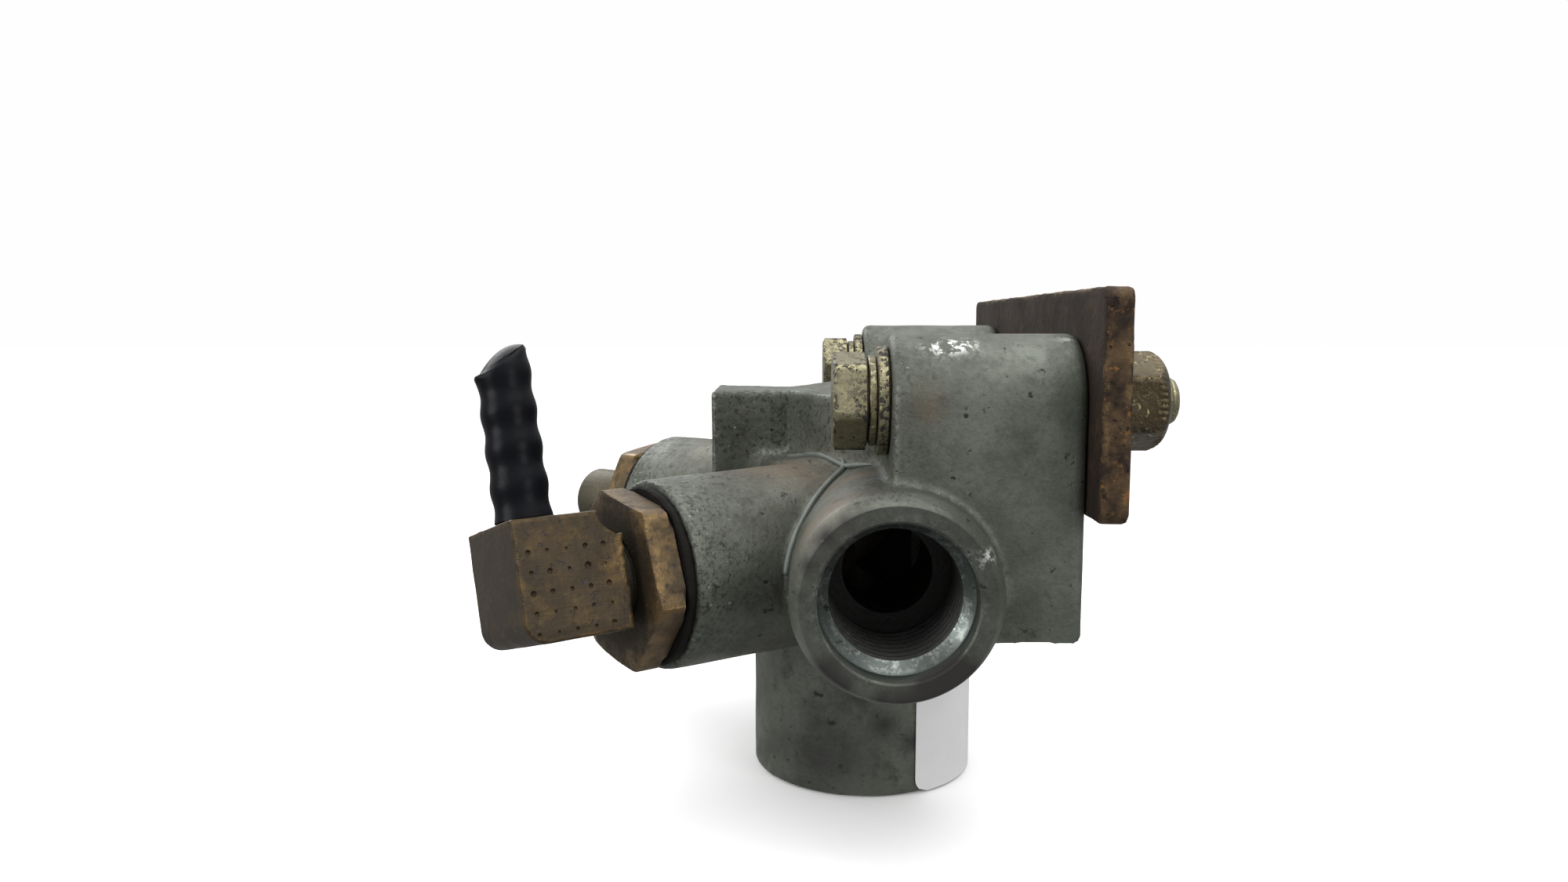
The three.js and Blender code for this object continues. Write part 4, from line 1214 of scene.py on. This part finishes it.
# sleeve with shallow ripples, and a domed end cut at a slant with a pinched lip at its low side
def leverGrip():
    v = lever
    sides, rings = 96, 90
    angles = np.arange(sides) * 2 * math.pi / sides
    lowSide = math.pi / 2
    start = 0.3
    points, faces, loops = [], [], []

    def addLoop(radius, heights):
        loops.append(len(points))
        for i, a in enumerate(angles):
            points.append((radius[i] * math.cos(a), radius[i] * math.sin(a), heights[i]))

    flat = np.ones(sides)
    slant = v["gripCut"] * (0.5 + 0.5 * np.cos(angles - lowSide))
    rim = v["gripLength"] - slant
    lip = v["lip"] * np.exp(-((angles - lowSide) / 0.34) ** 2)
    rodEnd = v["rodExposed"] + 0.3
    addLoop(0.02 * flat, rodEnd * flat)
    addLoop(v["rodHole"] * flat, rodEnd * flat)
    addLoop(v["rodHole"] * flat, start * flat)
    addLoop((v["gripRadius"] - 0.35) * flat, start * flat)
    for i in range(rings + 1):
        share = i / rings
        height = start + 0.25 + (rim - start - 0.25) * share
        taper = v["gripRadius"] + (v["gripTop"] - v["gripRadius"]) * share
        wave = 0.5 - 0.5 * np.cos(2 * math.pi * height / v["ripplePitch"] + 0.35 * np.sin(angles + 0.6))
        flare = lip * np.exp(-((1 - share) / 0.045) ** 2)
        flare = flare - 0.35 * np.exp(-((1 - share) / 0.012) ** 2) * (1 - lip)
        addLoop(taper - v["rippleDepth"] * wave + flare, height)
    top = v["gripTop"] - 0.35
    for i in range(1, 15):
        share = 1 - i / 15
        dome = v["gripDome"] * (1 - share * share)
        middle = v["gripLength"] - v["gripCut"] / 2
        addLoop(top * share * flat, share * rim + (1 - share) * middle + dome)
    addLoop(0.02 * flat, (v["gripLength"] - v["gripCut"] / 2 + v["gripDome"]) * flat)
    for a, b in zip(loops, loops[1:]):
        for i in range(sides):
            j = (i + 1) % sides
            faces.append((a + i, a + j, b + j, b + i))
    faces += [tuple(range(loops[0], loops[0] + sides)), tuple(range(loops[-1], loops[-1] + sides))[::-1]]
    points = np.array(points)
    faces = facesOutward(points, faces)
    piece = meshPiece("leverGrip", intoValve(points, gripBase(v["top"])), faces, 50)
    return fitPiece(piece, "lever", "grip_rubber", "lever_grip")


glandNut("front", frontArm)
glandNut("rear", rearArm)
gasket("front", frontArm, 1)
gasket("rear", rearArm, 2)
spindle("front", frontArm, "lever", "front_spindle")
spindle("rear", rearArm, "rear_stem", "rear_spindle")
leverHub()
leverGrip()


# M8 fasteners, in a bolt's frame: z from the lobe's face towards the head

fasteners = {
    "acrossFlats": 13.0, "headStart": 3.05, "headTop": 8.15, "headChamfer": 0.6, "shank": 4.0, "tip": -41.7,
    "threadPitch": 1.25, "threadLength": 16.0, "threadDepth": 0.6,
    "washerRadius": 8.0, "washerHole": 4.5, "washerLow": 0.15, "washerHigh": 1.75,
    "springInner": 4.3, "springOuter": 6.6, "springLow": 1.9, "springHigh": 2.9,
    "nutBearing": -31.3, "nutHeight": 8.4, "nutStraight": 3.9, "nutCrown": 4.9, "nutBore": 4.3,
    "headPhase": {"front": 46.5, "rear": 20.0}, "nutPhase": {"front": 30.0, "rear": 8.0},
}


def hexEdgeMask(local, phase, acrossFlats, heights, mirror=1):
    across = np.hypot(local[:, 0], local[:, 1])
    angle = (mirror * np.arctan2(local[:, 1], local[:, 0]) - math.radians(phase)) % (math.pi / 3)
    fromCorner = np.minimum(angle, math.pi / 3 - angle) * across
    mask = np.exp(-(fromCorner / 0.55) ** 2) * (across > acrossFlats / 2 - 0.3)
    for height in heights:
        mask = mask + np.exp(-((local[:, 2] - height) / 0.4) ** 2) * (across > acrossFlats / 2 - 0.8)
    return mask


def bolt(end, base):
    f = fasteners
    phase = f["headPhase"][end]
    corner, crown = f["acrossFlats"] / math.sqrt(3) + 0.2, f["acrossFlats"] / 2 - 0.15
    low, top = f["headStart"], f["headTop"]
    profile = [(0, f["tip"]), (2.6, f["tip"]), (3.1, f["tip"] + 0.3), (3.4, f["tip"] + 0.8)]
    profile += threaded(
        f["tip"] + 0.9, f["tip"] + f["threadLength"], f["shank"] - f["threadDepth"], f["shank"],
        f["threadPitch"])
    profile += [(f["shank"], f["tip"] + f["threadLength"] + 0.4), (f["shank"], low)]
    profile += [(crown - 0.6, low), (crown - 0.2, low + 0.05, "hex"), (corner, low + 0.35, "hex")]
    profile += [(corner, top - f["headChamfer"] - 0.2, "hex")]
    for i in range(1, 7):
        share = i / 6
        profile.append((corner + (crown - corner) * share, top - f["headChamfer"] * (1 - share), "hex"))
    profile += [(crown - 0.3, top, "hex"), (crown - 1.6, top - 0.02), (2, top - 0.12), (0, top - 0.12)]
    points, faces = turnedShape(profile, 192, f["acrossFlats"], phase)
    piece = meshPiece(end + "Bolt", intoValve(points, base), faces, 24)
    edges = hexEdgeMask(localOf(piece.data, base), phase, f["acrossFlats"], (low + 0.2, top - 0.3))
    storeMask(piece.data, "edge", edges)
    return fitPiece(piece, "housing", "yellow_zinc", end + "_bolt")


def flatWasher(end, base):
    f = fasteners
    low, high, radius = f["washerLow"], f["washerHigh"], f["washerRadius"]
    profile = [(f["washerHole"], low), (radius - 0.25, low), (radius, low + 0.25), (radius, high - 0.3)]
    profile += [(radius - 0.1, high - 0.1), (radius - 0.3, high)]
    profile += [(f["washerHole"] + 0.2, high), (f["washerHole"], high - 0.2)]
    points, faces = turnedShape(profile, 144)
    piece = meshPiece(end + "FlatWasher", intoValve(points, base), faces)
    local = localOf(piece.data, base)
    storeMask(piece.data, "edge", np.hypot(local[:, 0], local[:, 1]) > radius - 0.4)
    return fitPiece(piece, "housing", "yellow_zinc", end + "_flat_washer")


# one turn of square wire with a slit, its ends a little out of line
def springWasher(end, base):
    f = fasteners
    steps, gap = 110, math.radians(12)
    cut = math.radians(126)
    inner, outer, low, high = f["springInner"], f["springOuter"], f["springLow"], f["springHigh"]
    bevel = 0.15
    section = [(inner, low + bevel), (inner + bevel, low), (outer - bevel, low), (outer, low + bevel),
               (outer, high - bevel), (outer - bevel, high), (inner + bevel, high), (inner, high - bevel)]
    points, faces = [], []
    for i in range(steps + 1):
        share = i / steps
        a = cut + gap / 2 + (2 * math.pi - gap) * share
        for r, z in section:
            offset = 0.16 * (share - 0.5) * (z - low) / (high - low)
            points.append((r * math.cos(a), r * math.sin(a), z + offset))
    count = len(section)
    for i in range(steps):
        for j in range(count):
            k = (j + 1) % count
            faces.append((i * count + j, i * count + k, (i + 1) * count + k, (i + 1) * count + j))
    faces += [tuple(range(count))[::-1], tuple(range(steps * count, (steps + 1) * count))]
    points = np.array(points)
    piece = meshPiece(end + "SpringWasher", intoValve(points, base), facesOutward(points, faces))
    storeMask(piece.data, "edge", np.full(len(points), 0.5))
    return fitPiece(piece, "housing", "yellow_zinc", end + "_spring_washer")


# hexagon whose outer half is drawn into a dome, with crimp teeth round the crown
def lockNut(end, base):
    f = fasteners
    phase = f["nutPhase"][end]
    corner = f["acrossFlats"] / math.sqrt(3) + 0.3
    straight, height, crown = f["nutStraight"], f["nutHeight"], f["nutCrown"]

    def crimped(reach, angles, z):
        teeth = np.exp(-((z - height + 1.3) / 0.45) ** 2)
        return reach - 0.13 * teeth * np.clip(np.cos(48 * angles), -0.2, 1)

    profile = [(f["nutBore"], 0), (corner - 1.3, 0), (corner - 0.7, 0.05, "hex"), (corner, 0.4, "hex")]
    profile += [(corner, straight, "hex")]
    steps = 18
    for i in range(1, steps + 1):
        a = math.pi / 2 * i / steps
        r, z = crown + (corner - crown) * math.cos(a), straight + (height - straight) * math.sin(a)
        profile.append((r, z, "hex"))
    profile += [(crown - 0.25, height - 0.05), (f["nutBore"], height - 0.35)]
    points, faces = turnedShape(profile, 240, f["acrossFlats"], phase, crimped)
    facing = (base[0] + base[3] * f["nutBearing"], base[1], -base[2], -base[3])
    points = intoValve(points, facing)
    piece = meshPiece(end + "LockNut", points, facesOutward(points, faces), 24)
    local = localOf(piece.data, facing)
    storeMask(piece.data, "edge", hexEdgeMask(local, phase, f["acrossFlats"], (0.2,)))
    return fitPiece(piece, "housing", "nut_zinc", end + "_lock_nut")


for end, side in (("front", -1), ("rear", 1)):
    bolt(end, boltBase(side))
    flatWasher(end, boltBase(side))
    springWasher(end, boltBase(side))
    lockNut(end, boltBase(side))


# Mounting plate

plate = {
    "left": 28.45, "right": 32.45, "front": -51.4, "rear": 62.0, "height": 32.0, "centreZ": 67.2,
    "tilt": -0.9, "corner": 2.0, "edge": 0.55, "step": 0.55, "wobble": 0.06,
}


def plateDistance(points):
    p = plate
    turn = math.radians(p["tilt"])
    y = points[:, 1] - (p["front"] + p["rear"]) / 2
    z = points[:, 2] - p["centreZ"]
    u = np.abs(y * math.cos(turn) + z * math.sin(turn)) - (p["rear"] - p["front"]) / 2 + p["corner"]
    v = np.abs(z * math.cos(turn) - y * math.sin(turn)) - p["height"] / 2 + p["corner"]
    section = np.minimum(np.maximum(u, v), 0) + np.hypot(np.maximum(u, 0), np.maximum(v, 0)) - p["corner"]
    half = (p["right"] - p["left"]) / 2
    rough = p["wobble"] * (ripple(points, 6, 21) + 0.6 * ripple(points, 2.6, 22) - 1.6)
    nearEdge = np.exp(np.minimum(section, 0) / 2.5)
    thickness = np.abs(points[:, 0] - p["left"] - half) - half
    return roundedBlock(section - rough * nearEdge, thickness, p["edge"])


def mountingPlate():
    p = plate
    low = [p["left"] - 0.8, p["front"] - 0.9, p["centreZ"] - p["height"] / 2 - 1.8]
    high = [p["right"] + 0.8, p["rear"] + 0.9, p["centreZ"] + p["height"] / 2 + 1.8]
    points, faces = surfaceOf(plateDistance, low, high, p["step"])
    piece = meshPiece("mountingPlate", points, faces)
    for side in (-1, 1):
        cutAway(piece, boltHole(side, 20, 40))
    points, normals = vertexPlaces(piece.data), vertexNormals(piece.data)
    reach = 0.9
    edge = (plateDistance(points - normals * reach) + reach) / reach
    storeMask(piece.data, "edge", 1.6 * (edge - 0.15))
    storeMask(piece.data, "side", np.abs(normals[:, 0]) < 0.75)
    return fitPiece(piece, "housing", "plate_steel", "mounting_plate")


mountingPlate()


# Blank label wrapped on the boss

label = {"start": -64.5, "end": 50.0, "low": 0.2, "high": 26.0, "radius": 19.27, "thick": 0.14, "corner": 2.2}


# sheet on a grid of turns and heights, its lower left corner rounded and its far edge wavy
def labelSheet():
    v = label
    columns, rows = 90, 44
    points, faces = [], []
    for layer in (0, 1):
        for j in range(rows + 1):
            z = v["low"] + (v["high"] - v["low"]) * j / rows
            below = max(0.0, v["corner"] - (z - v["low"])) / v["corner"]
            inset = v["corner"] * (1 - math.sqrt(max(0.0, 1 - below * below)))
            start = math.radians(v["start"]) + inset / v["radius"]
            end = math.radians(v["end"] + 1.3 * math.sin(z / 4.1) + 0.7 * math.sin(z / 1.9))
            for i in range(columns + 1):
                a = start + (end - start) * i / columns
                lift = 0.10 * math.exp(-((a - end) / 0.12) ** 2) * (1 + math.sin(z / 3.0))
                radius = v["radius"] + layer * v["thick"] + lift
                points.append((casting["bossX"] + radius * math.cos(a), radius * math.sin(a), z))
    row, sheet = columns + 1, (columns + 1) * (rows + 1)
    for j in range(rows):
        for i in range(columns):
            a = j * row + i
            faces.append((a, a + row, a + row + 1, a + 1))
            faces.append((a + sheet, a + 1 + sheet, a + row + 1 + sheet, a + row + sheet))
    rim = [i for i in range(columns)] + [j * row + columns for j in range(rows)]
    rim += [rows * row + i for i in range(columns, 0, -1)] + [j * row for j in range(rows, 0, -1)]
    for a, b in zip(rim, rim[1:] + rim[:1]):
        faces.append((a, b, b + sheet, a + sheet))
    points = np.array(points)
    piece = meshPiece("blankLabel", points, facesOutward(points, faces), 50)
    return fitPiece(piece, "housing", "label_paper", "label")


labelSheet()


# Inner pieces keep their own shape and get their finish

inner = {
    "spindle_brass": ("front_rotor", "rear_rotor"),
    "thrust_polymer": ("front_thrust_washer", "rear_thrust_washer"),
    "rod_steel": ("lever_rod",),
    "seal_rubber": tuple(f"{end}_spindle_o_ring_{i}" for end in ("front", "rear") for i in (1, 2)),
}
for slot, names in inner.items():
    for name in names:
        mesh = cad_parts[name].data
        mesh.materials.clear()
        mesh.materials.append(finishes[slot])
print("inner pieces finished")


# Floor, light and camera

studio = {
    "floorDrop": 0.15, "floorSize": 4000.0, "floorColour": "fbfbfb",
    "backdrop": "fefefe", "backdropLight": 1.0,
    "skyTop": 1.34, "skyLow": 0.44, "skyTurn": (0.0, 0.85),
    "keyPlace": (60, -60, 420), "keySize": (380, 380), "keyPower": 1.1,
    "fillPlace": (330, -360, 200), "fillSize": (220, 220), "fillPower": 0.7,
    "sidePlace": (-420, -260, 190), "sideSize": (260, 220), "sidePower": 1.25,
    "backPlace": (-260, 320, 300), "backSize": (300, 220), "backPower": 0.8,
}


def studioFloor():
    s = studio
    half, z = s["floorSize"] / 2, -s["floorDrop"]
    corners = [(-half, -half, z), (half, -half, z), (half, half, z), (-half, half, z)]
    piece = meshPiece("studioFloor", corners, [(0, 1, 2, 3)])
    material, tree, where = newMaterial("seamlessPaper")
    finishWith(tree, colourOf(s["floorColour"]), 0.8, 0.0)
    piece.data.materials.append(material)
    # the floor shows and takes shadows, but throws no light up under the valve
    piece.visible_diffuse = False
    piece.visible_glossy = False


def softLight(name, place, size, power, target=(0, 0, 42)):
    lamp = bpy.data.lights.new(name, "AREA")
    lamp.shape = "RECTANGLE"
    lamp.size, lamp.size_y = size[0] * mm, size[1] * mm
    lamp.energy = power
    holder = bpy.data.objects.new(name, lamp)
    holder.location = placeOf([place])[0]
    aim = Vector(placeOf([target])[0]) - holder.location
    holder.rotation_euler = aim.to_track_quat("-Z", "Y").to_euler()
    bpy.context.scene.collection.objects.link(holder)


def paleWorld():
    world = bpy.data.worlds.new("studio")
    world.use_nodes = True
    tree = world.node_tree
    tree.nodes.clear()
    s = studio
    direction = addNode(tree, "ShaderNodeTexCoord").outputs["Generated"]
    height = addNode(tree, "ShaderNodeSeparateXYZ", {"Vector": direction}).outputs["Z"]
    strength = addNode(tree, "ShaderNodeMapRange", {
        "Value": height, "From Min": s["skyTurn"][0], "From Max": s["skyTurn"][1],
        "To Min": s["skyLow"], "To Max": s["skyTop"]}, interpolation_type="SMOOTHSTEP").outputs["Result"]
    sky = addNode(tree, "ShaderNodeBackground", {"Color": colourOf(s["backdrop"]), "Strength": strength})
    backdrop = addNode(tree, "ShaderNodeBackground", {
        "Color": colourOf(s["backdrop"]), "Strength": s["backdropLight"]})
    seen = addNode(tree, "ShaderNodeLightPath").outputs["Is Camera Ray"]
    both = addNode(tree, "ShaderNodeMixShader", {
        0: seen, 1: sky.outputs["Background"], 2: backdrop.outputs["Background"]})
    addNode(tree, "ShaderNodeOutputWorld", {"Surface": both.outputs["Shader"]})
    bpy.context.scene.world = world


view = {"place": (-11.5, -204.4, 81.4), "pitch": 6.65, "yaw": 0.8, "lens": 26.64, "sensor": 36.0}


def camera():
    v = view
    made = bpy.data.cameras.new("camera")
    made.lens, made.sensor_width = v["lens"], v["sensor"]
    made.clip_start = 0.01
    holder = bpy.data.objects.new("camera", made)
    holder.location = placeOf([v["place"]])[0]
    holder.rotation_euler = (math.radians(90 - v["pitch"]), 0, math.radians(v["yaw"]))
    bpy.context.scene.collection.objects.link(holder)
    bpy.context.scene.camera = holder


studioFloor()
softLight("keyLight", studio["keyPlace"], studio["keySize"], studio["keyPower"])
softLight("fillLight", studio["fillPlace"], studio["fillSize"], studio["fillPower"])
softLight("sideLight", studio["sidePlace"], studio["sideSize"], studio["sidePower"])
softLight("backLight", studio["backPlace"], studio["backSize"], studio["backPower"])
paleWorld()
camera()
bpy.context.scene.view_settings.view_transform = "Standard"
print("studio ready")
